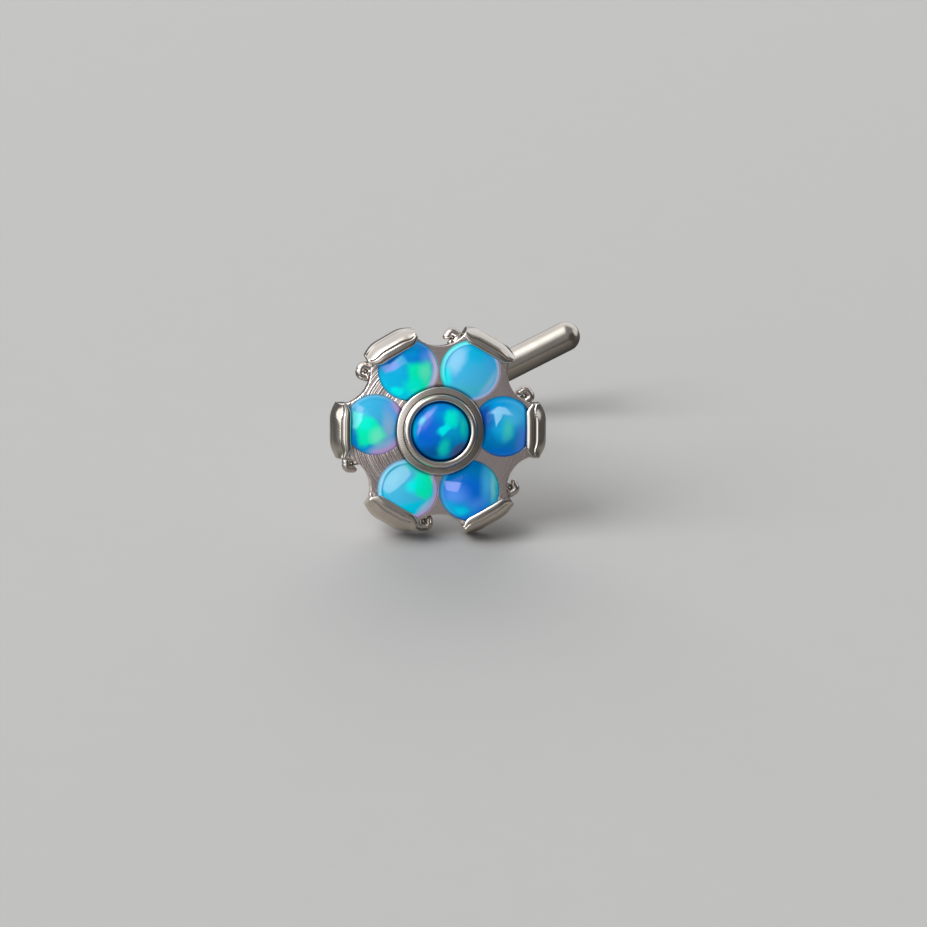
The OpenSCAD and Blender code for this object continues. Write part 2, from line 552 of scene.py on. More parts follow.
@dataclass(frozen=True)
class TurnedMetal:
    """Titanium faced on a lathe, with fine rings that glint as streaks.

    The rings are deepest on the rough side. Their valleys and the corner round the collar are painted darker,
    as shade.
    """

    name: str
    colour: Colour = srgb(232, 222, 221)
    polish: float = 0.18
    pitch: float = 0.05
    depth: float = 0.03
    crown: float = 0.012
    rough_side: float = 165.0
    calm: float = 0.13
    smudges: float = 0.1
    streak_range: Point2 = (0.35, 0.65)
    valley_shade_tone: float = 0.62
    collar: float | None = None
    corner_shade_width: float = 0.09
    corner_shade_heights: Point2 = (-0.2, -0.1)
    corner_shade_tone: float = 0.15

    def material(self, head: HeadFrame) -> bpy.types.Material:
        """Makes the finish.

        Args:
            head: the head's frame, whose axis the rings go round.

        Returns:
            The material.
        """
        made, w, shader = new_material(self.name)
        place = head_place(w, head)
        side = math.radians(self.rough_side)
        rings = TurnedRings.use(w, Place=place, Pitch=self.pitch, Depth=self.depth, Crown=self.crown,
                                Rough_Side=(math.cos(side), math.sin(side), 0.0), Calm=self.calm)
        wear = HandledMetal.use(w, Place=place, Polish=self.polish, Smudges=self.smudges, Scratches=0.0)
        # painted shade: the colour is darker in the rings' valleys, with the strongest contrast on the rough
        # side
        streak = w.scalar("SUBTRACT", w.ease(rings["Rings"], *self.streak_range), 0.5)
        streak = w.scalar("ADD", w.times(streak, rings["Rough"]), 0.5)
        colour = w.blend(streak, shaded(self.colour, self.valley_shade_tone), self.colour)
        # painted shade: the plate's face is darkened in the corner round the collar
        if self.collar is not None:
            corner_shade = w.rest(w.ease(rings["Radius"], self.collar, self.collar + self.corner_shade_width))
            corner_shade = w.times(corner_shade, w.ease(w.split(place)["Z"], *self.corner_shade_heights))
            colour = w.blend(corner_shade, colour, shaded(self.colour, self.corner_shade_tone))
        bump = w.feed(w.add("ShaderNodeBump"), Height=rings["Height"], Distance=MM)
        w.feed(shader, Base_Color=colour, Metallic=1.0, Roughness=wear["Roughness"],
               Normal=bump.outputs[0])
        return made


@dataclass(frozen=True)
class Flash:
    """A flash of colour in an opal. Places and half sizes are in radii of the stone.

    Its own up direction is turned clockwise by turn degrees. A square flash has straight sides, and
    a taper above 0 makes it wider at its top.
    """

    hue: Hue
    at: Point2
    size: Point2
    turn: float = 0.0
    softness: float = 0.35
    strength: float = 1.0
    ragged: float = 0.2
    square: float = 0.0
    taper: float = 0.0


@dataclass(frozen=True)
class OpalFinish:
    """A glossy opal: a body that shades from top to bottom, flashes, and a milky edge.

    The flashes' places are read from the front in the plane of the stone's girdle, and sink moves
    them to where the dome's surface shows them there. Its colour glows by emission, as painted
    light, and some flashes are painted reflections of the window and one is painted shade.
    """

    name: str
    top: Hue
    bottom: Hue
    flashes: tuple[Flash, ...]
    edge: Hue = Hue.PINK
    edge_turn: float = 0.0
    edge_width: float = 0.25
    edge_from: float = 0.3
    edge_strength: float = 0.8
    # the painted rim highlight's hue, side, strength and start
    painted_rim: Hue = Hue.PALE_SKY
    painted_rim_turn: float = 140.0
    painted_rim_strength: float = 0.8
    painted_rim_from: float = 0.88
    # strength of the painted dark line inside the painted rim
    groove: float = 0.0
    rim_shade: float = 0.3
    rim_from: float = 0.93
    claw_turn: float | None = None
    claw_reach: float = 0.82
    bezel: float | None = 1.11
    body: float = 0.3
    glow: float = 0.68
    sink: Point2 = (-0.05, 0.035)
    drift: float = 0.5
    drift_scale: float = 1.4
    body_range: Point2 = (-0.7, 0.6)
    side_softness: float = 0.4
    lit_range: Point2 = (0.3, 0.7)
    painted_rim_softness: float = 0.05
    shade_line_at: float = 0.87
    shade_line_softness: float = 0.04
    rim_softness: float = 0.07
    bezel_range: Point2 = (-0.01, 0.09)
    bezel_shade: float = 0.85
    claw_range: Point2 = (-0.1, -0.02)
    claw_shade: float = 0.8

    def material(self, head: HeadFrame, middle: Vector, radius: float) -> bpy.types.Material:
        """Makes the finish for one stone.

        Args:
            head: the head's frame.
            middle: the stone's middle in the head's axes, in millimetres.
            radius: the stone's radius in millimetres.

        Returns:
            The material.
        """
        made, w, shader = new_material(self.name)
        in_head = head_place(w, head)
        place = w.scale(w.vector("SUBTRACT", in_head, middle), 1 / radius)
        reach = w.from_axis(place)
        colour = self.fire(w, place, self.body_colour(w, place))
        colour = self.edges(w, place, reach, colour)
        shade = w.times(w.ease(reach, self.rim_from, self.rim_from + self.rim_softness), self.rim_shade)
        if self.bezel is not None:
            start, end = (self.bezel + step for step in self.bezel_range)
            near = w.rest(w.ease(w.from_axis(in_head), start, end))
            shade = w.scalar("MAXIMUM", shade, w.times(near, self.bezel_shade))
        if self.claw_turn is not None:
            start, end = (self.claw_reach + step for step in self.claw_range)
            near = self.towards(w, place, self.claw_turn, start, end)
            shade = w.scalar("MAXIMUM", shade, w.times(near, self.claw_shade))
        colour = w.blend(shade, colour, Hue.INK.value)
        # painted light: the stone's colour is also given off by emission, so it glows on its own
        w.feed(shader, Base_Color=w.blend(1.0, colour, (self.body,) * 3, "MULTIPLY"), Roughness=0.1,
               IOR=1.45, Specular_IOR_Level=0.05, Emission_Color=colour, Emission_Strength=self.glow)
        return made

    def body_colour(self, w: Wiring, place: bpy.types.NodeSocket) -> bpy.types.NodeSocket:
        """Shades the body from its bottom to its top, unevenly.

        Args:
            w: the material's wiring.
            place: the point in radii of the stone.

        Returns:
            The colour's socket.
        """
        drift = w.times(w.noise(place, self.drift_scale).outputs[0], self.drift)
        height = w.scalar("ADD", w.split(place)["Y"], w.scalar("SUBTRACT", drift, self.drift / 2))
        return w.blend(w.ease(height, *self.body_range), self.bottom.value, self.top.value)

    def fire(self, w: Wiring, place: bpy.types.NodeSocket,
             colour: bpy.types.NodeSocket) -> bpy.types.NodeSocket:
        """Lays the flashes over the body.

        Args:
            w: the material's wiring.
            place: the point in radii of the stone.
            colour: the body's colour.

        Returns:
            The colour's socket.
        """
        for flash in self.flashes:
            spot = (flash.at[0] + self.sink[0], flash.at[1] + self.sink[1], 0.0)
            mask = OpalFlash.use(w, Place=place, Middle=spot, Size=(*flash.size, 1.0),
                                 Turn=math.radians(flash.turn), Softness=flash.softness,
                                 Ragged=flash.ragged, Square=flash.square, Taper=flash.taper)["Mask"]
            colour = w.blend(w.times(mask, flash.strength), colour, flash.hue.value)
        return colour

    def edges(self, w: Wiring, place: bpy.types.NodeSocket, reach: bpy.types.NodeSocket,
              colour: bpy.types.NodeSocket) -> bpy.types.NodeSocket:
        """Lays on the milky edge, painted as light through the stone on one side, and on the lit side a
        painted rim highlight with a painted dark line inside it.

        Args:
            w: the material's wiring.
            place: the point in radii of the stone.
            reach: the point's distance from the stone's axis, in the same radii.
            colour: the colour so far.

        Returns:
            The colour's socket.
        """
        # painted light: a milky rim on one side of the stone, standing for light that comes through its edge
        milky_glow = w.ease(reach, 1.0 - self.edge_width * 1.5, 1.0 - self.edge_width * 0.5)
        side = self.towards(w, place, self.edge_turn, self.edge_from, self.edge_from + self.side_softness)
        colour = w.blend(w.times(milky_glow, side, self.edge_strength), colour, self.edge.value)
        # painted highlight: a rim band on the lit side, pale on the petals and faint dark blue on the middle
        # opal
        lit = self.towards(w, place, self.painted_rim_turn, *self.lit_range)
        painted_rim = w.ease(reach, self.painted_rim_from, self.painted_rim_from + self.painted_rim_softness)
        colour = w.blend(w.times(painted_rim, lit, self.painted_rim_strength), colour, self.painted_rim.value)
        # painted shade: a thin dark line just inside the painted rim, on the lit side
        line = w.times(w.ease(reach, self.shade_line_at - self.shade_line_softness, self.shade_line_at),
                       w.rest(w.ease(reach, self.shade_line_at, self.shade_line_at + self.shade_line_softness)))
        return w.blend(w.times(line, lit, self.groove), colour, Hue.PETROL.value)

    @staticmethod
    def towards(w: Wiring, place: bpy.types.NodeSocket, turn: float, low: float,
                high: float) -> bpy.types.NodeSocket:
        """Makes a soft step across the stone towards one side.

        Args:
            w: the material's wiring.
            place: the point in radii of the stone.
            turn: the side, in degrees from the right.
            low, high: where the step starts and ends, in radii.

        Returns:
            The step's socket.
        """
        way = (math.cos(math.radians(turn)), math.sin(math.radians(turn)), 0)
        return w.ease(w.vector("DOT_PRODUCT", place, way), low, high)


def keep_mesh(name: str, shape: bpy.types.Mesh, finish: bpy.types.Material | None,
              head: HeadFrame) -> bpy.types.Object:
    """Sets a drawn mesh in place and links it to the scene.

    Args:
        name: the piece's name.
        shape: the mesh, in the head's axes and in millimetres.
        finish: its material, or None where the mesh already has one.
        head: the head's frame.

    Returns:
        The piece.
    """
    shape.name = name
    shape.transform(head.placement())
    if finish is not None:
        shape.materials.clear()
        shape.materials.append(finish)
    piece = bpy.data.objects.new(name, shape)
    bpy.context.scene.collection.objects.link(piece)
    return piece


def settle(piece: bpy.types.Object, slot: Slot, *nodes: str) -> None:
    """Makes a piece ride on the stud and stand for its nodes.

    Args:
        piece: the piece.
        slot: its material slot; not used.
        nodes: the CAD nodes that it stands for.
    """
    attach(piece, "root")
    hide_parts(*nodes)
    log.info("%s: %d faces, stands for %s", piece.name, len(piece.data.polygons), ", ".join(nodes))


def mesh_of(bm: bmesh.types.BMesh, sharp: float = 32.0) -> bpy.types.Mesh:
    """Turns an edit mesh into a mesh with outward faces that are smooth but for sharp edges.

    Args:
        bm: the edit mesh, which is freed.
        sharp: the angle from which an edge stays sharp, in degrees.

    Returns:
        The mesh.
    """
    bmesh.ops.recalc_face_normals(bm, faces=bm.faces)
    shape = bpy.data.meshes.new("shape")
    bm.to_mesh(shape)
    bm.free()
    shape.shade_smooth()
    shape.set_sharp_from_angle(angle=math.radians(sharp))
    return shape


def bake_modifiers(shape: bpy.types.Mesh, add: Callable[[bpy.types.Object], None]) -> bpy.types.Mesh:
    """Runs modifiers on a mesh and gives the plain result.

    Args:
        shape: the mesh, which is used up.
        add: puts the modifiers on the object that it is given.

    Returns:
        The new mesh.
    """
    carrier = bpy.data.objects.new("carrier", shape)
    bpy.context.scene.collection.objects.link(carrier)
    add(carrier)
    seen = carrier.evaluated_get(bpy.context.evaluated_depsgraph_get())
    made = bpy.data.meshes.new_from_object(seen)
    carrier.modifiers.clear()
    bpy.data.objects.remove(carrier)
    bpy.data.meshes.remove(shape)
    return made


def arc(centre: Point2, radius: float, start: float, end: float, steps: int) -> list[Point2]:
    """Gives points along an arc, both ends included.

    Args:
        centre: the arc's middle.
        radius: its radius.
        start, end: its first and last angle in degrees.
        steps: how many chords it has.

    Returns:
        The points.
    """
    angles = [math.radians(start + (end - start) * i / steps) for i in range(steps + 1)]
    return [(centre[0] + radius * math.cos(a), centre[1] + radius * math.sin(a)) for a in angles]


def bow(start: Point2, end: Point2, rise: float, steps: int) -> list[Point2]:
    """Gives points along a shallow bow between two points.

    Args:
        start, end: the bow's ends.
        rise: how far its middle stands out to the right of the way from start to end.
        steps: how many chords it has.

    Returns:
        The points, both ends included.
    """
    run = (end[0] - start[0], end[1] - start[1])
    length = math.hypot(*run)
    out = (run[1] / length * rise, -run[0] / length * rise)
    swell = [4 * (i / steps) * (1 - i / steps) for i in range(steps + 1)]
    return [(start[0] + run[0] * i / steps + out[0] * s, start[1] + run[1] * i / steps + out[1] * s)
            for i, s in enumerate(swell)]


def lathe(section: Sequence[Point2], turns: int = 128) -> bpy.types.Mesh:
    """Turns a section round the head's axis.

    Args:
        section: [distance from the axis, height], from one end on the axis to the other.
        turns: how many faces go round.

    Returns:
        The closed mesh.
    """
    bm = bmesh.new()
    rings: list[list[bmesh.types.BMVert]] = []
    for r, z in section:
        if r < 1e-6:
            rings.append([bm.verts.new((0, 0, z))])
            continue
        spots = [math.tau * i / turns for i in range(turns)]
        rings.append([bm.verts.new((r * math.cos(a), r * math.sin(a), z)) for a in spots])
    for lower, upper in zip(rings, rings[1:]):
        for i in range(turns):
            j = (i + 1) % turns
            corners = [lower[i % len(lower)], lower[j % len(lower)],
                       upper[j % len(upper)], upper[i % len(upper)]]
            bm.faces.new(list(dict.fromkeys(corners)))
    return mesh_of(bm)


def strip(bm: bmesh.types.BMesh, first: Sequence[bmesh.types.BMVert],
          second: Sequence[bmesh.types.BMVert]) -> None:
    """Joins two closed rings of points by a strip of faces.

    Args:
        bm: the edit mesh.
        first, second: the rings, with as many points each.
    """
    for i in range(len(first)):
        j = (i + 1) % len(first)
        bm.faces.new((first[i], first[j], second[j], second[i]))


class NodeRecipe:
    """A Geometry Nodes tree with named inputs, run once on a mesh."""

    def __init__(self, name: str, inputs: dict[str, Socket]) -> None:
        """Starts the tree.

        Args:
            name: the tree's name.
            inputs: each size's name and socket type, after the geometry and before the material.
        """
        self.tree = bpy.data.node_groups.new(name, "GeometryNodeTree")
        face = self.tree.interface
        face.new_socket("Geometry", in_out="INPUT", socket_type=Socket.GEOMETRY.value)
        self.sockets = {title: face.new_socket(title, in_out="INPUT", socket_type=kind.value)
                        for title, kind in {**inputs, "Material": Socket.MATERIAL}.items()}
        face.new_socket("Geometry", in_out="OUTPUT", socket_type=Socket.GEOMETRY.value)
        self.wires = Wiring(self.tree)
        self.given = self.wires.add("NodeGroupInput").outputs

    def end(self, geometry: bpy.types.NodeSocket) -> None:
        """Ends the tree in plain geometry with its material.

        Args:
            geometry: what the tree has made.
        """
        w = self.wires
        real = w.feed(w.add("GeometryNodeRealizeInstances"), Geometry=geometry)
        dressed = w.feed(w.add("GeometryNodeSetMaterial"), Geometry=real.outputs[0],
                         Material=self.given["Material"])
        w.feed(w.add("NodeGroupOutput"), Geometry=dressed.outputs[0])

    def run(self, shape: bpy.types.Mesh, **sizes: object) -> bpy.types.Mesh:
        """Runs the tree on a mesh.

        Args:
            shape: the mesh that goes in.
            sizes: a value for each named input, with an underscore for a space.

        Returns:
            The plain mesh that comes out.
        """
        def add(carrier: bpy.types.Object) -> None:
            """Puts on the tree and sets its inputs by their identifiers.

            Args:
                carrier: the object that carries the mesh.
            """
            modifier = carrier.modifiers.new(self.tree.name, "NODES")
            modifier.node_group = self.tree
            for name, value in sizes.items():
                if value is not None:
                    modifier[self.sockets[name.replace("_", " ")].identifier] = value

        return bake_modifiers(shape, add)


def ring_recipe() -> NodeRecipe:
    """Builds the tree that repeats a shape round the head, each copy bent in or out by hand.

    The copies sit at a reach from the head's axis, the first at the start angle, and each is turned
    about its own middle by up to its own turn.
    Where the shape has a bend attribute, a copy's points move along their radius by that share of
    the copy's own random distance. Where it has a fold attribute, they rise by that distance in
    the copies on the smooth side.

    Returns:
        The recipe.
    """
    smooth_range = (0.3, 0.7)
    recipe = NodeRecipe("ring round the head", {
        "Count": Socket.INT, "Shrink": Socket.FLOAT, "Bent In": Socket.FLOAT, "Bent Out": Socket.FLOAT,
        "Smooth Side": Socket.VECTOR, "Reach": Socket.FLOAT, "Start": Socket.FLOAT,
        "Own Turn": Socket.FLOAT, "Seed": Socket.INT})
    w, given = recipe.wires, recipe.given
    step = w.scalar("DIVIDE", math.tau, given["Count"])
    angle = w.scalar("ADD", w.times(w.add("GeometryNodeInputIndex").outputs[0], step), given["Start"])
    spot = w.combine(w.times(w.scalar("COSINE", angle), given["Reach"]),
                     w.times(w.scalar("SINE", angle), given["Reach"]))
    spots = w.feed(w.add("GeometryNodePoints"), Count=given["Count"], Position=spot)
    bent = w.random(w.times(given["Bent In"], -1.0), given["Bent Out"], given["Seed"])
    spots = w.feed(w.add("GeometryNodeStoreNamedAttribute", data_type="FLOAT", domain="POINT"),
                   Geometry=spots.outputs[0], Name="copy_bend", Value=bent)
    own = w.random(w.times(given["Own Turn"], -1.0), given["Own Turn"], given["Seed"])
    turn = w.feed(w.add("FunctionNodeEulerToRotation"), Euler=w.combine(z=w.scalar("ADD", angle, own)))
    size = w.random(w.rest(given["Shrink"]), 1.0, given["Seed"])
    copies = w.feed(w.add("GeometryNodeInstanceOnPoints"), Points=spots.outputs[0],
                    Instance=given["Geometry"], Rotation=turn.outputs[0], Scale=size)
    real = w.feed(w.add("GeometryNodeRealizeInstances"), Geometry=copies.outputs[0])
    distance, share, fold = (
        w.feed(w.add("GeometryNodeInputNamedAttribute", data_type="FLOAT"), Name=name).outputs[0]
        for name in ("copy_bend", "bend", "fold"))
    way = w.vector("NORMALIZE", w.level(w.add("GeometryNodeInputPosition").outputs[0]))
    smooth = w.ease(w.vector("DOT_PRODUCT", way, given["Smooth Side"]), *smooth_range)
    offset = w.vector("ADD", w.scale(way, w.times(distance, share)), w.combine(z=w.times(fold, smooth)))
    placed = w.feed(w.add("GeometryNodeSetPosition"), Geometry=real.outputs[0], Offset=offset)
    recipe.end(placed.outputs[0])
    return recipe


def wire_recipe() -> NodeRecipe:
    """Builds the tree that sweeps a round wire along a path of edges.

    The path's points carry their own thickness, so an end can be rounded.

    Returns:
        The recipe.
    """
    weld = 0.0005
    recipe = NodeRecipe("wire along a path", {"Sides": Socket.INT})
    w, given = recipe.wires, recipe.given
    path = w.feed(w.add("GeometryNodeMeshToCurve"), Mesh=given["Geometry"]).outputs[0]
    thick = w.feed(w.add("GeometryNodeInputNamedAttribute", data_type="FLOAT"), Name="wire_radius")
    path = w.feed(w.add("GeometryNodeSetCurveRadius"), Curve=path, Radius=thick.outputs[0]).outputs[0]
    circle = w.feed(w.add("GeometryNodeCurvePrimitiveCircle"), Resolution=given["Sides"], Radius=1.0)
    swept = w.add("GeometryNodeCurveToMesh")
    w.feed(swept, Curve=path, Profile_Curve=circle.outputs[0], Fill_Caps=True)
    if "Scale" in swept.inputs:
        w.feed(swept, Scale=thick.outputs[0])
    joined = w.feed(w.add("GeometryNodeMergeByDistance"), Geometry=swept.outputs[0], Distance=weld)
    smooth = w.feed(w.add("GeometryNodeSetShadeSmooth"), Geometry=joined.outputs[0])
    recipe.end(smooth.outputs[0])
    return recipe


def path_mesh(points: Sequence[Vector], radii: Sequence[float]) -> bpy.types.Mesh:
    """Makes a path of edges whose points carry the wire's thickness.

    Args:
        points: the points in order.
        radii: the wire's radius at each.

    Returns:
        The path's mesh.
    """
    shape = bpy.data.meshes.new("path")
    shape.from_pydata(points, [(i, i + 1) for i in range(len(points) - 1)], [])
    values = shape.attributes.new("wire_radius", "FLOAT", "POINT").data
    values.foreach_set("value", list(radii))
    return shape


@dataclass
class Plate:
    """The flower's plate: six lobes between six scallops, with a seat for each opal."""

    head: HeadFrame
    seats: Sequence[tuple[Vector, float]]
    radius: float = 2.52
    thickness: float = 0.5
    scallop_radius: float = 0.82
    scallop_ring: float = 2.95
    seat_depth: float = 0.32
    seat_gap: float = 0.015
    seat_edge: float = 0.4
    edge: float = 0.03
    lobe_steps: int = 12
    scallop_steps: int = 24
    seat_steps: int = 72
    # the collar radius sets where the painted shade round the collar lies
    finish: TurnedMetal = TurnedMetal("turned plate", collar=1.11)

    def outline(self, inset: float) -> list[Point2]:
        """Draws the plate's outline, moved inwards.

        Args:
            inset: how far it is moved in.

        Returns:
            The outline's points, anticlockwise.
        """
        lobe, bite, ring = self.radius - inset, self.scallop_radius + inset, self.scallop_ring
        meet = math.acos((lobe ** 2 + ring ** 2 - bite ** 2) / (2 * lobe * ring))
        swing = math.degrees(math.atan2(lobe * math.sin(meet), ring - lobe * math.cos(meet)))
        half_lobe = math.degrees(PETAL_STEP / 2 - meet)
        points: list[Point2] = []
        for i in range(PETALS):
            middle = math.degrees(i * PETAL_STEP)
            dip = math.radians(middle) + PETAL_STEP / 2
            points += arc((0, 0), lobe, middle - half_lobe, middle + half_lobe, self.lobe_steps)[:-1]
            spot = (ring * math.cos(dip), ring * math.sin(dip))
            facing = math.degrees(dip) + 180
            points += arc(spot, bite, facing + swing, facing - swing, self.scallop_steps)[:-1]
        return points

    def build(self) -> bpy.types.Object:
        """Makes the plate.

        Returns:
            The piece.
        """
        bm = bmesh.new()

        def loop(points: Iterable[Point2], height: float) -> list[bmesh.types.BMVert]:
            """Adds a level ring of points."""
            return [bm.verts.new((x, y, height)) for x, y in points]

        quarter = [math.radians(a) for a in (0, 30, 60, 90)]
        rounding = [(self.edge * (1 - math.sin(a)), self.edge * (1 - math.cos(a))) for a in quarter]
        rims = [loop(self.outline(inset), -drop) for inset, drop in rounding]
        rims += [loop(self.outline(inset), drop - self.thickness) for inset, drop in reversed(rounding)]
        for upper, lower in zip(rims, rims[1:]):
            strip(bm, upper, lower)
        holes = []
        for middle, radius in self.seats:
            spot = (middle.x, middle.y)
            wide = radius + self.seat_gap
            levels = [(wide + grow * self.seat_edge, -drop * self.seat_edge) for grow, drop in rounding]
            rings = [loop(arc(spot, size, 0, 360, self.seat_steps)[:-1], height)
                     for size, height in [*levels, (wide, -self.seat_depth)]]
            for upper, lower in zip(rings, rings[1:]):
                strip(bm, upper, lower)
            bm.faces.new(rings[-1])
            holes.append(rings[0])
        top = [rims[0], *holes]
        flat = [v for ring in top for v in ring]
        for corners in tessellate_polygon([[v.co for v in ring] for ring in top]):
            bm.faces.new([flat[i] for i in corners])
        bm.faces.new(rims[-1])
        shape = mesh_of(bm)
        shape = bake_modifiers(shape, lambda o: setattr(
            o.modifiers.new("flat faces", "WEIGHTED_NORMAL"), "keep_sharp", True))
        piece = keep_mesh("turned_plate", shape, self.finish.material(self.head), self.head)
        settle(piece, Slot.SETTING, "setting")
        return piece


@dataclass
class Claws:
    """The six wide tabs that are curled over the outer edges of the petal opals.

    Each is a pillow with a fold along it, which is pressed flat in the two lower tabs. Towards a
    tab's ends its outer face comes in, its lip goes out and its fold gets narrower, each from its own
    share of the half width.
    """

    head: HeadFrame
    seat: tuple[Vector, float]
    outer: float = 2.735
    half_width: float = 0.665
    lip: float = 2.23
    top: float = 0.44
    underside: float = 0.33
    lip_edge: float = 0.01
    plate: float = 0.5
    land: float = 0.215
    land_fall: float = 20.0
    bead: float = 0.075
    bead_width: float = 0.1
    crease: float = 0.055
    crease_depth: float = 0.026
    crease_at: float = 0.2
    crease_narrowing: float = 0.5
    ridge_rise: float = 0.002
    ridge_round: Point2 = (0.012, -0.008)
    land_bow: float = 0.008
    pillow: float = 0.045
    shoulder: tuple[Point2, ...] = ((0.0, -0.08), (0.008, -0.035), (0.03, 0.01))
    foot_edge: float = 0.03
    stone_gap: float = 0.02
    wall_point: float = 0.1
    narrow_from: float = 0.3
    narrowing: float = 0.6
    top_drop: float = 0.05
    outer_from: float = 0.38
    outer_drop: float = 0.13
    lip_from: float = 0.65
    lip_rise: float = 0.12
    pillow_steps: int = 9
    land_steps: int = 5
    crest_steps: int = 10
    shrink: float = 0.006
    bent_in: float = 0.08
    bent_out: float = 0.04
    seed: int = 1132
    stations: tuple[float, ...] = (0.0, 0.15, 0.3, 0.42, 0.54, 0.64, 0.72, 0.79, 0.85, 0.9, 0.94, 0.97,
                                   0.99, 1.0)
    end_shrink: tuple[float, ...] = (0.015, 0.05, 0.11, 0.2)
    end_round: float = 0.035
    sharp: float = 40.0
    finish: PolishedMetal = PolishedMetal("claw tabs")

    @staticmethod
    def late(share: float, start: float) -> float:
        """Gives 0 up to a start and from there a rise to 1, slow at first."""
        return max((share - start) / (1 - start), 0.0) ** 2

    @property
    def fold_index(self) -> int:
        """Where the fold's lowest point stands in a section: after the foot, the pillow and the ridge."""
        foot, ridge = 3, 1
        return foot + len(self.shoulder) + self.pillow_steps + ridge

    def section(self, share: float) -> list[Point2]:
        """Draws the tab's section at one place along its width.

        Args:
            share: how far the place is from the tab's middle, 0 to 1 at its end.

        Returns:
            The section's points: [distance from the head's middle, height].
        """
        end = self.late(share, self.narrow_from)
        narrow = 1 - self.narrowing * end
        bead, wide, land = self.bead * narrow, self.bead_width * narrow, self.land * narrow
        top = self.top - self.top_drop * end
        outer = self.outer - self.outer_drop * self.late(share, self.outer_from)
        lip = self.lip + self.lip_rise * self.late(share, self.lip_from)
        middle, radius = self.seat
        across = share * self.half_width
        wall = max(lip, middle.x + math.sqrt(max((radius + self.stone_gap) ** 2 - across ** 2, 0.0)))
        slope = math.tan(math.radians(self.land_fall))
        first = math.degrees(math.atan2(bead, wide * slope))
        crest = [(lip + wide * (1 + x), top - bead * (1 - z))
                 for x, z in arc((0, 0), 1.0, first, 180, self.crest_steps)]
        fold = (lip + land, crest[0][1] - (lip + land - crest[0][0]) * slope)
        ridge = (fold[0] + self.crease * (1 - self.crease_narrowing * end), fold[1] + self.ridge_rise)
        beside = (ridge[0] + self.ridge_round[0], ridge[1] + self.ridge_round[1])
        *face, corner = [(outer - inwards, height) for inwards, height in self.shoulder]
        return [
            (wall, -self.plate),
            (outer - self.foot_edge, -self.plate),
            (outer, self.foot_edge - self.plate),
            *face,
            *bow(corner, beside, self.pillow, self.pillow_steps),
            ridge,
            (fold[0] + self.crease * self.crease_at, fold[1] - self.crease_depth * narrow),
            *bow(fold, crest[0], self.land_bow, self.land_steps)[:-1],
            *crest,
            (lip, min(self.underside, top - bead - self.lip_edge)),
            (wall, self.wall_point),
            (wall, -self.wall_point),
        ]

    def tab(self) -> bpy.types.Mesh:
        """Makes one tab at the head's right: its section drawn from end to end, with rounded ends.

        Returns:
            The tab's mesh. Its bend attribute says how far each point moves with the lip, and its
            fold attribute how far the fold's points rise where it is pressed flat.
        """
        bm = bmesh.new()
        rings: list[list[bmesh.types.BMVert]] = []
        places = [-s for s in reversed(self.stations)] + list(self.stations[1:])
        for place in places:
            rings.append([bm.verts.new((r, place * self.half_width, z)) for r, z in self.section(abs(place))])
        for side in (-1, 1):
            end = rings[0] if side < 0 else rings[-1]
            middle = sum((v.co for v in end), Vector()) / len(end)
            for i, shrink in enumerate(self.end_shrink, 1):
                swing = math.pi / 2 * i / len(self.end_shrink)
                out = Vector((0, side * self.end_round * math.sin(swing), 0))
                smaller = [bm.verts.new(v.co + (middle - v.co) * shrink + out) for v in end]
                rings.insert(0 if side < 0 else len(rings), smaller)
        for first, second in zip(rings, rings[1:]):
            strip(bm, first, second)
        bm.faces.new(rings[0])
        bm.faces.new(rings[-1])
        shape = mesh_of(bm, self.sharp)
        depth = self.outer - self.lip
        bend = [min(max((self.outer - vert.co.x) / depth, 0.0), 1.0) for vert in shape.vertices]
        fold = [self.crease_depth if vert.index % len(rings[0]) == self.fold_index else 0.0
                for vert in shape.vertices]
        for name, values in (("bend", bend), ("fold", fold)):
            shape.attributes.new(name, "FLOAT", "POINT").data.foreach_set("value", values)
        return shape

    def build(self, ring: NodeRecipe) -> bpy.types.Object:
        """Makes the six tabs.

        Args:
            ring: repeats a shape round the head.

        Returns:
            The piece.
        """
        shape = ring.run(self.tab(), Count=PETALS, Shrink=self.shrink, Bent_In=self.bent_in,
                         Bent_Out=self.bent_out, Smooth_Side=(0.0, -1.0, 0.0), Seed=self.seed,
                         Material=self.finish.material(self.head))
        piece = keep_mesh("claw_tabs", shape, None, self.head)
        settle(piece, Slot.SETTING, "setting")
        return piece


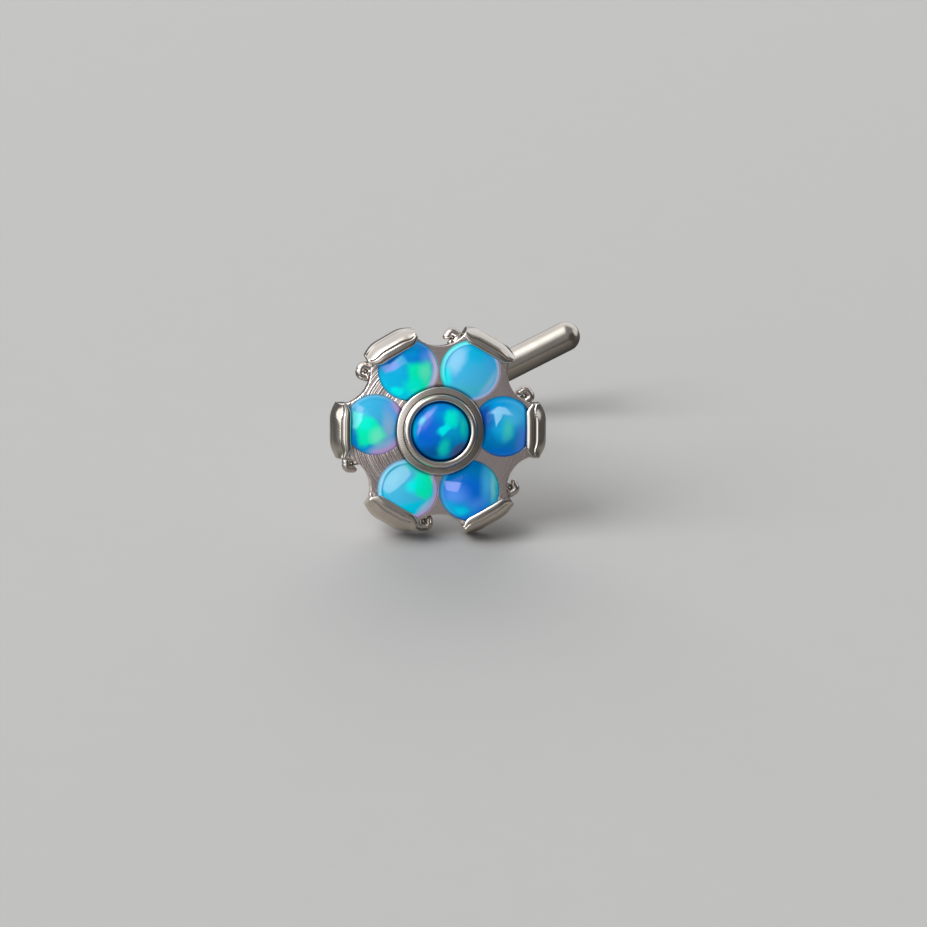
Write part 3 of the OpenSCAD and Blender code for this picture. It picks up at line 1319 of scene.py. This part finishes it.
@dataclass
class Hooks:
    """The small curls at the anticlockwise ends of the tabs: thick lobes rolled round an eye."""

    head: HeadFrame
    outer: float = 0.24
    eye: float = 0.012
    ring: float = 2.36
    angle: float = 21.2
    low: float = -0.5
    high: float = -0.2
    swell: float = 0.2
    steps: int = 40
    sides: int = 20
    end_taper: tuple[float, ...] = (0.55, 0.85, 0.97)
    opening: Point2 = (-198.0, 138.0)
    shrink: float = 0.05
    own_turn: float = 32.0
    seed: int = 4
    finish: PolishedMetal = PolishedMetal("curled hooks", colour=srgb(190, 184, 180), polish=0.2)

    def curl(self, sweep: NodeRecipe) -> bpy.types.Mesh:
        """Makes one curl: a thick wire rolled round the eye, a little squarer than round.

        Args:
            sweep: draws a round wire along a path.

        Returns:
            The curl's mesh, round the head's axis.
        """
        radius = (self.outer - self.eye) / 2
        points, radii = [], []
        spots = arc((0, 0), self.eye + radius, *self.opening, self.steps)
        for i, (x, y) in enumerate(spots):
            grow = 1 + self.swell * abs(math.sin(2 * math.atan2(y, x)))
            points.append(Vector((x * grow, y * grow, 0)))
            from_end = min(i, len(spots) - 1 - i)
            radii.append(radius * (*self.end_taper, 1.0)[min(from_end, len(self.end_taper))])
        shape = sweep.run(path_mesh(points, radii), Sides=self.sides, Material=None)
        tall = (self.high - self.low) / (2 * radius)
        middle = Vector((0, 0, (self.low + self.high) / 2))
        shape.transform(Matrix.Translation(middle) @ Matrix.Diagonal((1, 1, tall, 1)))
        return shape

    def build(self, ring: NodeRecipe, sweep: NodeRecipe) -> bpy.types.Object:
        """Makes the six hooks.

        Args:
            ring: repeats a shape round the head.
            sweep: draws a round wire along a path.

        Returns:
            The piece.
        """
        shape = ring.run(self.curl(sweep), Count=PETALS, Shrink=self.shrink, Reach=self.ring,
                         Start=math.radians(self.angle), Own_Turn=math.radians(self.own_turn),
                         Seed=self.seed, Material=self.finish.material(self.head))
        piece = keep_mesh("curled_hooks", shape, None, self.head)
        settle(piece, Slot.SETTING, "setting")
        return piece


@dataclass
class Bezel:
    """The centre bezel: a rounded rim round the opal, with a lower rounded collar."""

    head: HeadFrame
    inner: float = 0.77
    lip: float = 0.735
    rim: float = 0.925
    rim_top: float = 0.52
    collar: float = 1.11
    collar_top: float = 0.36
    collar_round: float = 0.045
    collar_fall: float = 0.018
    groove: float = 0.03
    girdle: float = 0.36
    floor: float = 0.08
    foot: float = -0.2
    rim_start: float = 190.0
    rim_steps: int = 20
    collar_start: float = 78.0
    collar_steps: int = 12
    # painted shade darkens the bezel's inner side, inside its lip
    finish: PolishedMetal = PolishedMetal("centre bezel", colour=srgb(206, 201, 195), polish=0.16,
                                          shade_within=0.762)

    def section(self) -> list[Point2]:
        """Draws the bezel's section from the seat's floor to its foot.

        Returns:
            The section's points.
        """
        rounding = (self.rim - self.lip) / 2
        crest = (self.lip + rounding, self.rim_top - rounding)
        shoulder = (self.collar - self.collar_round, self.collar_top - self.collar_fall - self.collar_round)
        return [
            (0.0, self.floor),
            (self.inner, self.floor),
            (self.inner, self.girdle),
            *arc(crest, rounding, self.rim_start, 0, self.rim_steps),
            (self.rim, self.collar_top - self.groove),
            (self.rim + self.groove, self.collar_top),
            *arc(shoulder, self.collar_round, self.collar_start, 0, self.collar_steps),
            (self.collar, self.foot),
            (0.0, self.foot),
        ]

    def build(self) -> bpy.types.Object:
        """Makes the bezel.

        Returns:
            The piece.
        """
        piece = keep_mesh("centre_bezel", lathe(self.section()), self.finish.material(self.head), self.head)
        settle(piece, Slot.SETTING, "setting")
        return piece


@dataclass
class Boss:
    """The low boss on the plate's back, with the blind bore that the post is pressed into."""

    head: HeadFrame
    radius: float = 0.75
    plate: float = 0.5
    height: float = 0.2
    chamfer: float = 0.08
    bore: float = 0.415
    bore_depth: float = 0.35
    bore_edge: float = 0.02
    bore_roof: float = 0.02
    root_inset: float = 0.05
    plate_gap: float = 0.01
    finish: TurnedMetal = TurnedMetal("turned boss")

    def build(self) -> bpy.types.Object:
        """Makes the boss.

        Returns:
            The piece.
        """
        back = -self.plate - self.height
        root = -self.plate + self.bore_depth
        section = [
            (0.0, root - self.bore_roof),
            (self.bore, root - self.bore_roof),
            (self.bore, back + self.bore_edge),
            (self.bore + self.bore_edge, back),
            (self.radius - self.chamfer, back),
            (self.radius, self.plate_gap - self.plate),
            (self.radius - self.root_inset, root),
            (0.0, root),
        ]
        piece = keep_mesh("post_boss", lathe(section), self.finish.material(self.head), self.head)
        settle(piece, Slot.SETTING, "setting")
        return piece


@dataclass
class Post:
    """The wire: a straight post, an elbow and an arm with a rounded tip."""

    head: HeadFrame
    wire: float = 0.8
    top: float = -0.365
    wear_length: float = 6.5
    plate: float = 0.5
    elbow: float = 1.0
    arm: float = 5.048
    arm_angle: float = 26.7
    sides: int = 48
    post_steps: int = 12
    elbow_steps: int = 24
    arm_steps: int = 8
    tip_steps: int = 16
    tip_end: float = 0.002
    finish: PolishedMetal = PolishedMetal("polished wire", colour=srgb(198, 193, 186), polish=0.15)

    def path(self) -> tuple[list[Vector], list[float]]:
        """Lays out the wire's middle line and its thickness.

        Returns:
            The points and the wire's radius at each.
        """
        radius = self.wire / 2
        arm_z = -self.plate - self.wear_length - radius
        elbow_z = arm_z + self.elbow
        fall = (elbow_z - self.top) / self.post_steps
        run = [(0.0, self.top + fall * i) for i in range(self.post_steps)]
        run += arc((self.elbow, elbow_z), self.elbow, 180, 270, self.elbow_steps)
        tip = self.arm - radius
        step = (tip - self.elbow) / self.arm_steps
        run += [(self.elbow + step * i, arm_z) for i in range(1, self.arm_steps + 1)]
        thick = [radius] * len(run)
        for i in range(1, self.tip_steps + 1):
            angle = math.pi / 2 * i / self.tip_steps
            run.append((tip + radius * math.sin(angle), arm_z))
            thick.append(radius * max(math.cos(angle), self.tip_end))
        swing = math.radians(self.arm_angle)
        return [Vector((x * math.cos(swing), x * math.sin(swing), z)) for x, z in run], thick

    def build(self, sweep: NodeRecipe) -> bpy.types.Object:
        """Makes the wire.

        Args:
            sweep: draws a round wire along a path.

        Returns:
            The piece.
        """
        shape = sweep.run(path_mesh(*self.path()), Sides=self.sides,
                          Material=self.finish.material(self.head))
        piece = keep_mesh("post_wire", shape, None, self.head)
        settle(piece, Slot.POST, "post")
        return piece


@dataclass
class Opal:
    """A round domed opal."""

    head: HeadFrame
    node: str
    finish: OpalFinish
    slot: Slot
    dome: float
    edge: float = 0.02
    dome_steps: int = 28
    turns: int = 96

    @property
    def middle(self) -> Vector:
        """The middle of the stone's girdle, in the head's axes."""
        low, high = self.head.span(self.node)
        return Vector(((low.x + high.x) / 2, (low.y + high.y) / 2, high.z - self.dome))

    @property
    def radius(self) -> float:
        """The stone's radius in millimetres."""
        low, high = self.head.span(self.node)
        return (high.x - low.x) / 2

    def build(self) -> bpy.types.Object:
        """Makes the stone.

        Returns:
            The piece.
        """
        low, _ = self.head.span(self.node)
        middle, radius = self.middle, self.radius
        ball = (radius ** 2 + self.dome ** 2) / (2 * self.dome)
        reach = math.degrees(math.asin(radius / ball))
        skirt = low.z - middle.z
        section = [
            (0.0, skirt),
            (radius - self.edge, skirt),
            (radius, skirt + self.edge),
            *arc((0, self.dome - ball), ball, 90 - reach, 90, self.dome_steps),
        ]
        section[-1] = (0.0, self.dome)
        shape = lathe(section, self.turns)
        shape.transform(Matrix.Translation(middle))
        piece = keep_mesh(f"{self.node}_dome", shape, self.finish.material(self.head, middle, radius),
                          self.head)
        settle(piece, self.slot, self.node)
        return piece


@dataclass
class PhotoCamera:
    """The camera at the photograph's angle, worked out from where the opals lie in it."""

    head: HeadFrame
    azimuth: float = -6.4
    elevation: float = 23.0
    roll: float = 2.35
    distance: float = 100.0
    pixels_per_mm: float = 39.62
    picture: float = 927.0
    head_at: Point2 = (439.1, 430.3)
    clip: Point2 = (0.005, 20.0)

    def build(self) -> bpy.types.Object:
        """Makes the camera and hands it to the scene.

        Returns:
            The camera.
        """
        a, e, roll = (math.radians(v) for v in (self.azimuth, self.elevation, self.roll))
        back = Vector((math.sin(a) * math.cos(e), -math.cos(a) * math.cos(e), math.sin(e)))
        level = Vector((math.cos(a), math.sin(a), 0))
        rise = back.cross(level)
        right = level * math.cos(roll) + rise * math.sin(roll)
        up = rise * math.cos(roll) - level * math.sin(roll)
        aside = (self.picture / 2 - self.head_at[0]) / self.pixels_per_mm
        below = (self.picture / 2 - self.head_at[1]) / self.pixels_per_mm
        at = self.head.centre + (back * self.distance + right * aside - up * below) * MM
        data = bpy.data.cameras.new("photo camera")
        data.lens = data.sensor_width * self.pixels_per_mm * self.distance / self.picture
        data.clip_start, data.clip_end = self.clip
        camera = bpy.data.objects.new("photo camera", data)
        camera.matrix_world = Matrix.Translation(at) @ Matrix((right, up, back)).transposed().to_4x4()
        bpy.context.scene.collection.objects.link(camera)
        bpy.context.scene.camera = camera
        return camera


@dataclass(frozen=True)
class Softbox:
    """A rectangular light that looks at the stud."""

    name: str
    towards: Point3
    distance: float
    size: Point2
    radiance: float
    mirrored: bool = True
    colour: Colour = (1.0, 1.0, 1.0)

    def build(self) -> bpy.types.Object:
        """Makes the light.

        Returns:
            The light.
        """
        data = bpy.data.lights.new(self.name, "AREA")
        data.shape = "RECTANGLE"
        data.size, data.size_y = self.size
        data.energy = self.radiance * math.pi * self.size[0] * self.size[1]
        data.color = self.colour
        light = bpy.data.objects.new(self.name, data)
        away = Vector(self.towards).normalized()
        light.location = away * self.distance
        light.rotation_euler = away.to_track_quat("Z", "Y").to_euler()
        light.visible_camera = False
        light.visible_glossy = self.mirrored
        bpy.context.scene.collection.objects.link(light)
        return light


@dataclass(frozen=True)
class Haze:
    """A soft patch of the room that is lighter or darker than the rest."""

    towards: Point3
    start: float
    full: float
    colour: Colour


@dataclass
class Studio:
    """The plain floor, the soft lights and the grey room, which shows more in the metal than it lights."""

    floor_colour: Colour = srgb(163, 163, 163)
    # painted reflection: the floor's colours as the metal mirrors them, darker away from the stud
    mirrored_near_floor: Colour = srgb(158, 153, 146)
    mirrored_far_floor: Colour = srgb(66, 64, 62)
    mirror_middle: Point3 = (-0.001, -0.0055, 0.0)
    mirror_dim_from: float = 0.004
    mirror_dim_to: float = 0.0122
    # painted shadow on the board round the spots where the tabs stand
    painted_contact_shadows: tuple[Point2, ...] = ((-0.0014, -0.00395), (0.00055, -0.00395))
    contact_shadow_colour: Colour = (0.0, 0.0, 0.0)
    contact_core: float = 0.0001
    contact_reach: float = 0.0013
    contact_shade: float = 0.42
    backdrop: Colour = srgb(197, 197, 197)
    room_colour: Colour = (0.30, 0.287, 0.28)
    room_light: float = 0.5
    floor_size: float = 6.0
    grain_scale: float = 900.0
    grain_tone: float = 1.02
    boxes: tuple[Softbox, ...] = (
        Softbox("key window", (-0.73, -0.20, 0.66), 1.0, (0.60, 0.85), 6.7),
        Softbox("back light", (-0.05, 0.90, 0.42), 1.0, (1.13, 0.53), 4.0, mirrored=False),
    )
    hazes: tuple[Haze, ...] = (
        Haze((0.356, 0.815, 0.458), 0.70, 0.90, (1.1, 1.1, 1.1)),
        Haze((0.762, -0.630, 0.152), 0.74, 0.95, (0.09, 0.085, 0.08)),
        Haze((0.987, 0.05, 0.03), 0.88, 0.98, (0.12, 0.112, 0.108)),
        Haze((0.87, 0.16, 0.40), 0.87, 0.95, (1.05, 1.04, 1.03)),
        Haze((-0.97, 0.0, 0.24), 0.17, 0.5, (1.75, 1.73, 1.69)),
        Haze((-0.41, 0.647, 0.642), 0.80, 0.96, (1.1, 1.09, 1.07)),
    )

    def floor(self) -> bpy.types.Object:
        """Makes the floor: painted shadow where the tabs stand, and a painted reflection darker far from the
        stud.

        Returns:
            The floor.
        """
        half = self.floor_size / 2
        shape = bpy.data.meshes.new("studio floor")
        shape.from_pydata([(-half, -half, 0), (half, -half, 0), (half, half, 0), (-half, half, 0)],
                          [], [(0, 1, 2, 3)])
        made, w, shader = new_material("pale board")
        place = w.add("ShaderNodeTexCoord").outputs["Object"]
        grain = w.noise(place, self.grain_scale).outputs[0]
        board = w.blend(grain, self.floor_colour, shaded(self.floor_colour, self.grain_tone))
        # painted shadow: the board is darkened round the spots where the tabs stand
        for x, y in self.painted_contact_shadows:
            away = w.vector("DISTANCE", place, (x, y, 0.0))
            near = w.rest(w.ease(away, self.contact_core, self.contact_reach))
            board = w.blend(w.times(near, self.contact_shade), board, self.contact_shadow_colour)
        # painted reflection: in what the metal mirrors, the floor has its own colour, darker away from the
        # stud
        far = w.ease(w.vector("DISTANCE", place, self.mirror_middle), self.mirror_dim_from, self.mirror_dim_to)
        mirrored = w.add("ShaderNodeLightPath").outputs["Is Glossy Ray"]
        board = w.blend(mirrored, board, w.blend(far, self.mirrored_near_floor, self.mirrored_far_floor))
        w.feed(shader, Base_Color=board, Roughness=0.7, Specular_IOR_Level=0.2)
        shape.materials.append(made)
        board = bpy.data.objects.new("studio_floor", shape)
        bpy.context.scene.collection.objects.link(board)
        return board

    def room(self) -> None:
        """Makes the grey room that the metal mirrors."""
        world = bpy.data.worlds.new("grey room")
        world.use_nodes = True
        bpy.context.scene.world = world
        w = Wiring(world.node_tree)
        place = w.add("ShaderNodeTexCoord").outputs["Generated"]
        lit: object = self.room_colour
        for haze in self.hazes:
            facing = w.vector("DOT_PRODUCT", place, haze.towards)
            lit = w.blend(w.ease(facing, haze.start, haze.full), lit, haze.colour)
        rays = w.add("ShaderNodeLightPath").outputs
        dim = w.blend(1.0, lit, (self.room_light,) * 3, "MULTIPLY")
        lit = w.blend(rays["Is Diffuse Ray"], lit, dim)
        lit = w.blend(rays["Is Camera Ray"], lit, self.backdrop)
        w.feed(world.node_tree.nodes["Background"], Color=lit, Strength=1.0)

    def build(self) -> None:
        """Makes the floor, the lights and the room."""
        self.floor()
        self.room()
        for box in self.boxes:
            box.build()
        bpy.context.scene.view_settings.view_transform = "Standard"


RIGHT_OPAL = OpalFinish("right opal", Hue.AZURE, Hue.PETROL, (
    Flash(Hue.SKY, (0.45, 0.4), (0.4, 0.4), softness=0.8, strength=0.5),
    Flash(Hue.NAVY, (-0.7, 0.38), (0.3, 0.55), softness=0.7, strength=0.9),
    Flash(Hue.ROYAL, (0.0, -0.95), (0.6, 0.2), softness=0.6, strength=0.5),
    Flash(Hue.VIOLET, (0.68, -0.4), (0.22, 0.42), softness=0.9, strength=0.6),
    Flash(Hue.CERULEAN, (-0.08, -0.15), (0.22, 0.3), softness=0.9, strength=0.6),
    Flash(Hue.TEAL, (0.13, -0.06), (0.17, 0.34), turn=4, softness=0.9, square=0.3),
    Flash(Hue.SKY, (0.32, 0.3), (0.22, 0.2), softness=0.9, strength=0.7),
    # painted reflection: the window's highlight on the dome, in two pale pieces
    Flash(Hue.PALE_SKY, (-0.06, 0.53), (0.27, 0.125), turn=4, softness=0.35, strength=0.78, square=0.6,
          taper=-0.5, ragged=0.14),
    Flash(Hue.PALE_SKY, (-0.22, 0.24), (0.09, 0.22), turn=10, softness=0.35, strength=0.78, square=0.8,
          taper=0.8, ragged=0.14),
), edge=Hue.SKY, edge_turn=48, edge_width=0.16, edge_strength=0.6, painted_rim=Hue.AZURE, painted_rim_turn=80,
    claw_turn=0, claw_reach=0.75)
UPPER_RIGHT_OPAL = OpalFinish("upper right opal", Hue.CERULEAN, Hue.SKY, (
    Flash(Hue.TEAL, (-0.1, -0.62), (0.4, 0.2), softness=0.8, strength=0.4),
    Flash(Hue.SKY, (0.2, -0.1), (0.6, 0.35), softness=0.8, strength=0.6),
    Flash(Hue.PERIWINKLE, (0.72, 0.3), (0.22, 0.35), softness=0.9, strength=0.3),
    # painted reflection: the window's pale highlight on the dome's upper left
    Flash(Hue.PALE_SKY, (-0.46, 0.38), (0.26, 0.5), turn=28, softness=0.5, strength=0.75, square=0.5),
    Flash(Hue.AQUA, (-0.8, -0.22), (0.15, 0.34), turn=-10, softness=0.8, strength=0.8),
    Flash(Hue.MIST, (0.66, -0.45), (0.12, 0.5), turn=35, softness=0.9, strength=0.45, ragged=0.1),
    Flash(Hue.TEAL, (0.42, -0.5), (0.05, 0.42), turn=45, softness=0.8, strength=0.45, ragged=0.08),
), edge=Hue.PEARL, edge_turn=-22, edge_width=0.1, edge_from=0.2, edge_strength=0.75, painted_rim=Hue.ICE,
    painted_rim_turn=140, painted_rim_strength=0.8, groove=0.5, claw_turn=60, claw_reach=0.86)
UPPER_LEFT_OPAL = OpalFinish("upper left opal", Hue.BLUE, Hue.CYAN, (
    Flash(Hue.CERULEAN, (-0.4, -0.2), (0.5, 0.5), softness=0.6, strength=0.8),
    Flash(Hue.AZURE, (0.1, 0.65), (0.35, 0.25), softness=0.8, strength=0.9),
    Flash(Hue.PERIWINKLE, (0.66, 0.42), (0.2, 0.16), softness=0.8, strength=0.6),
    Flash(Hue.GREEN, (0.4, -0.25), (0.38, 0.5), turn=-6, softness=0.3, square=0.7, taper=0.2),
    Flash(Hue.LIME, (0.58, -0.05), (0.2, 0.3), softness=0.8, strength=0.6),
    Flash(Hue.MINT, (0.18, -0.55), (0.3, 0.28), softness=0.7, strength=0.9),
    # painted shade: a dark band under the tab's lip
    Flash(Hue.NAVY, (-0.5, 0.42), (0.5, 0.1), turn=-36, softness=0.5, strength=0.8, square=0.6),
    # painted reflection: the window's highlight, lavender to sky blue, in two pieces
    Flash(Hue.LAVENDER, (-0.5, 0.13), (0.34, 0.12), turn=-30, softness=0.3, square=0.8, strength=0.8),
    Flash(Hue.SKY, (-0.24, 0.28), (0.15, 0.15), turn=-32, softness=0.4, square=0.8, strength=0.75),
    Flash(Hue.AQUA, (-0.34, -0.72), (0.2, 0.14), softness=0.5),
), edge=Hue.PEARL, edge_turn=-6, edge_width=0.2, edge_from=0.48, edge_strength=1.0, painted_rim=Hue.SKY,
    painted_rim_turn=65, painted_rim_strength=0.6, painted_rim_from=0.92, claw_turn=120, claw_reach=0.77)
LEFT_OPAL = OpalFinish("left opal", Hue.SKY, Hue.AZURE, (
    Flash(Hue.CERULEAN, (-0.1, 0.6), (0.4, 0.3), softness=0.7, strength=0.4),
    Flash(Hue.PERIWINKLE, (0.6, 0.5), (0.25, 0.35), softness=0.8, strength=0.6),
    Flash(Hue.BLUE, (-0.78, -0.66), (0.25, 0.25), softness=0.8, strength=0.5),
    Flash(Hue.MIST, (0.45, -0.1), (0.18, 0.45), softness=0.9, strength=0.6),
    Flash(Hue.MIST, (0.35, -0.72), (0.5, 0.14), turn=-25, softness=0.9, strength=0.6),
    Flash(Hue.GREEN, (-0.2, -0.24), (0.4, 0.42), turn=-22, softness=0.25, square=0.7, taper=-0.25),
    Flash(Hue.LIME, (0.08, -0.4), (0.22, 0.28), softness=0.7, strength=0.85),
    Flash(Hue.MINT, (-0.3, 0.05), (0.2, 0.25), softness=0.6, strength=0.9),
    # painted reflection: the window's pale highlight on the dome's left
    Flash(Hue.ICE, (-0.6, 0.14), (0.13, 0.28), turn=10, softness=0.25, square=0.8, taper=0.4),
    Flash(Hue.PALE_SKY, (-0.5, 0.52), (0.13, 0.11), turn=25, softness=0.4, square=0.8, strength=0.65),
), edge=Hue.PINK, edge_turn=-22, edge_width=0.18, edge_from=0.05, edge_strength=0.8, painted_rim=Hue.PALE_SKY,
    painted_rim_turn=105, painted_rim_strength=0.5, painted_rim_from=0.92, groove=0.2, claw_turn=180, claw_reach=0.85)
LOWER_LEFT_OPAL = OpalFinish("lower left opal", Hue.TEAL, Hue.CYAN, (
    Flash(Hue.SKY, (-0.3, -0.2), (0.6, 0.35), turn=-30, softness=0.6, strength=0.8),
    Flash(Hue.SKY, (0.02, 0.42), (0.3, 0.16), turn=-42, softness=0.4, strength=0.8),
    # painted reflection: the window's large pale highlight on the dome's upper left
    Flash(Hue.PALE_SKY, (-0.4, 0.36), (0.56, 0.26), turn=-42, softness=0.14, square=0.6, ragged=0.08,
          strength=0.75),
    Flash(Hue.AQUA, (0.24, 0.14), (0.25, 0.2), turn=-40, softness=0.6, square=0.4, strength=0.9),
    Flash(Hue.GREEN, (0.58, 0.12), (0.3, 0.42), turn=10, softness=0.22, square=0.5),
    Flash(Hue.MINT, (0.4, 0.25), (0.16, 0.3), softness=0.7, strength=0.7),
    Flash(Hue.AQUA, (0.1, 0.15), (0.2, 0.12), turn=-40, softness=0.7, strength=0.6),
    Flash(Hue.SKY, (0.15, -0.3), (0.3, 0.12), softness=0.9, strength=0.5),
    Flash(Hue.CYAN, (0.12, -0.66), (0.4, 0.2), softness=0.6, strength=0.9),
    Flash(Hue.MIST, (0.6, -0.6), (0.1, 0.3), turn=42, softness=0.9, strength=0.7),
), edge=Hue.PINK, edge_turn=-30, edge_width=0.14, edge_from=0.2, edge_strength=0.8,
    painted_rim=Hue.PALE_SKY, painted_rim_turn=150, painted_rim_strength=1.0, painted_rim_from=0.89, groove=0.7, claw_turn=240,
    claw_reach=0.71)
LOWER_RIGHT_OPAL = OpalFinish("lower right opal", Hue.PETROL, Hue.BLUE, (
    Flash(Hue.ROYAL, (-0.1, 0.05), (0.7, 0.4), softness=0.7, strength=0.7),
    Flash(Hue.PERIWINKLE, (-0.5, -0.2), (0.36, 0.3), softness=0.9, strength=0.7),
    Flash(Hue.PERIWINKLE, (0.15, -0.5), (0.4, 0.2), turn=-25, softness=0.9, strength=0.4),
    Flash(Hue.SKY, (0.62, 0.22), (0.2, 0.5), turn=4, softness=0.9, strength=0.75, ragged=0.1),
    Flash(Hue.TEAL, (0.86, 0.12), (0.13, 0.5), softness=0.9, strength=0.9),
    Flash(Hue.MIST, (0.82, 0.1), (0.08, 0.4), softness=0.9, strength=0.4),
    # painted reflection: the window's lavender highlight on the dome
    Flash(Hue.LAVENDER, (-0.57, 0.13), (0.23, 0.16), turn=4, softness=0.2, square=0.9, taper=0.2,
          ragged=0.08, strength=0.8),
    Flash(Hue.AZURE, (-0.3, -0.68), (0.4, 0.25), softness=0.7),
    Flash(Hue.CYAN, (-0.28, -0.7), (0.22, 0.14), softness=0.8, strength=0.9),
    Flash(Hue.CERULEAN, (-0.7, -0.6), (0.22, 0.2), softness=0.8, strength=0.7),
), edge=Hue.TEAL, edge_turn=0, edge_strength=0.2, painted_rim=Hue.SKY, painted_rim_turn=180, painted_rim_strength=0.5,
    painted_rim_from=0.88, claw_turn=300, claw_reach=0.845)
CENTRE_OPAL = OpalFinish("middle opal", Hue.AZURE, Hue.PETROL, (
    Flash(Hue.ROYAL, (-0.45, 0.0), (0.45, 0.6), softness=0.8, strength=0.9),
    Flash(Hue.BLUE, (0.0, 0.8), (0.5, 0.14), softness=0.8, strength=0.6),
    Flash(Hue.CERULEAN, (0.45, 0.0), (0.3, 0.3), softness=0.9, strength=0.5),
    Flash(Hue.INK, (-0.35, -0.75), (0.45, 0.2), turn=-20, softness=0.8, strength=0.35),
    Flash(Hue.MINT, (0.38, 0.42), (0.21, 0.26), turn=20, softness=0.6, square=0.5, ragged=0.25, strength=0.9),
    Flash(Hue.AQUA, (0.12, 0.06), (0.13, 0.24), turn=50, softness=0.45, square=0.7, ragged=0.2,
          strength=0.9),
    Flash(Hue.SEA, (0.8, 0.12), (0.15, 0.36), turn=-8, softness=0.7, ragged=0.2, strength=0.95),
    Flash(Hue.SEA, (0.13, -0.56), (0.2, 0.32), turn=8, softness=0.6, ragged=0.2, strength=0.95),
    Flash(Hue.PLUM, (0.64, -0.66), (0.3, 0.14), turn=-42, softness=0.7, strength=0.85),
    Flash(Hue.CYAN, (-0.86, 0.1), (0.12, 0.4), softness=0.8, strength=0.5),
    Flash(Hue.NAVY, (-0.64, 0.68), (0.2, 0.16), turn=45, softness=0.8, strength=0.6),
    # painted reflection: the window's thin lavender highlight, an arc at the upper left
    Flash(Hue.VIOLET, (-0.46, 0.26), (0.08, 0.3), turn=38, softness=0.9, strength=0.7, ragged=0.1),
    Flash(Hue.LAVENDER, (-0.4, 0.52), (0.075, 0.32), turn=46, softness=0.6, strength=0.75, ragged=0.1),
    Flash(Hue.ICE, (-0.6, 0.32), (0.07, 0.15), turn=30, softness=0.8, strength=0.6, ragged=0.1),
    Flash(Hue.LAVENDER, (-0.68, 0.08), (0.04, 0.2), turn=14, softness=0.7, strength=0.6, ragged=0.1),
), edge=Hue.PETROL, edge_turn=-45, edge_strength=0.2, painted_rim=Hue.NAVY, painted_rim_turn=60, painted_rim_strength=0.2,
    rim_shade=0.92, rim_from=0.9, body=0.36, glow=0.62, bezel=None)

PETAL_FINISHES = (RIGHT_OPAL, UPPER_RIGHT_OPAL, UPPER_LEFT_OPAL, LEFT_OPAL, LOWER_LEFT_OPAL,
                  LOWER_RIGHT_OPAL)
PETAL_DOME = 0.5
CENTRE_DOME = 0.42
MOUNT_DEPTH = 3.55


def main() -> None:
    """Builds the stud, its studio and its camera in order."""
    logging.basicConfig(level=logging.INFO, format="%(name)s: %(message)s")
    head = HeadFrame.from_record(frame["record"], MOUNT_DEPTH)
    opals = [Opal(head, f"petal_opal_{i + 1}", finish, Slot.PETAL, PETAL_DOME)
             for i, finish in enumerate(PETAL_FINISHES)]
    opals.append(Opal(head, "centre_opal", CENTRE_OPAL, Slot.CENTRE, CENTRE_DOME))
    ring, sweep = ring_recipe(), wire_recipe()
    seats = [(opal.middle, opal.radius) for opal in opals[:PETALS]]
    Plate(head, seats).build()
    Claws(head, seats[0]).build(ring)
    Hooks(head).build(ring, sweep)
    Bezel(head).build()
    Boss(head).build()
    Post(head).build(sweep)
    for opal in opals:
        opal.build()
    PhotoCamera(head).build()
    Studio().build()


if __name__ == "__main__":
    main()
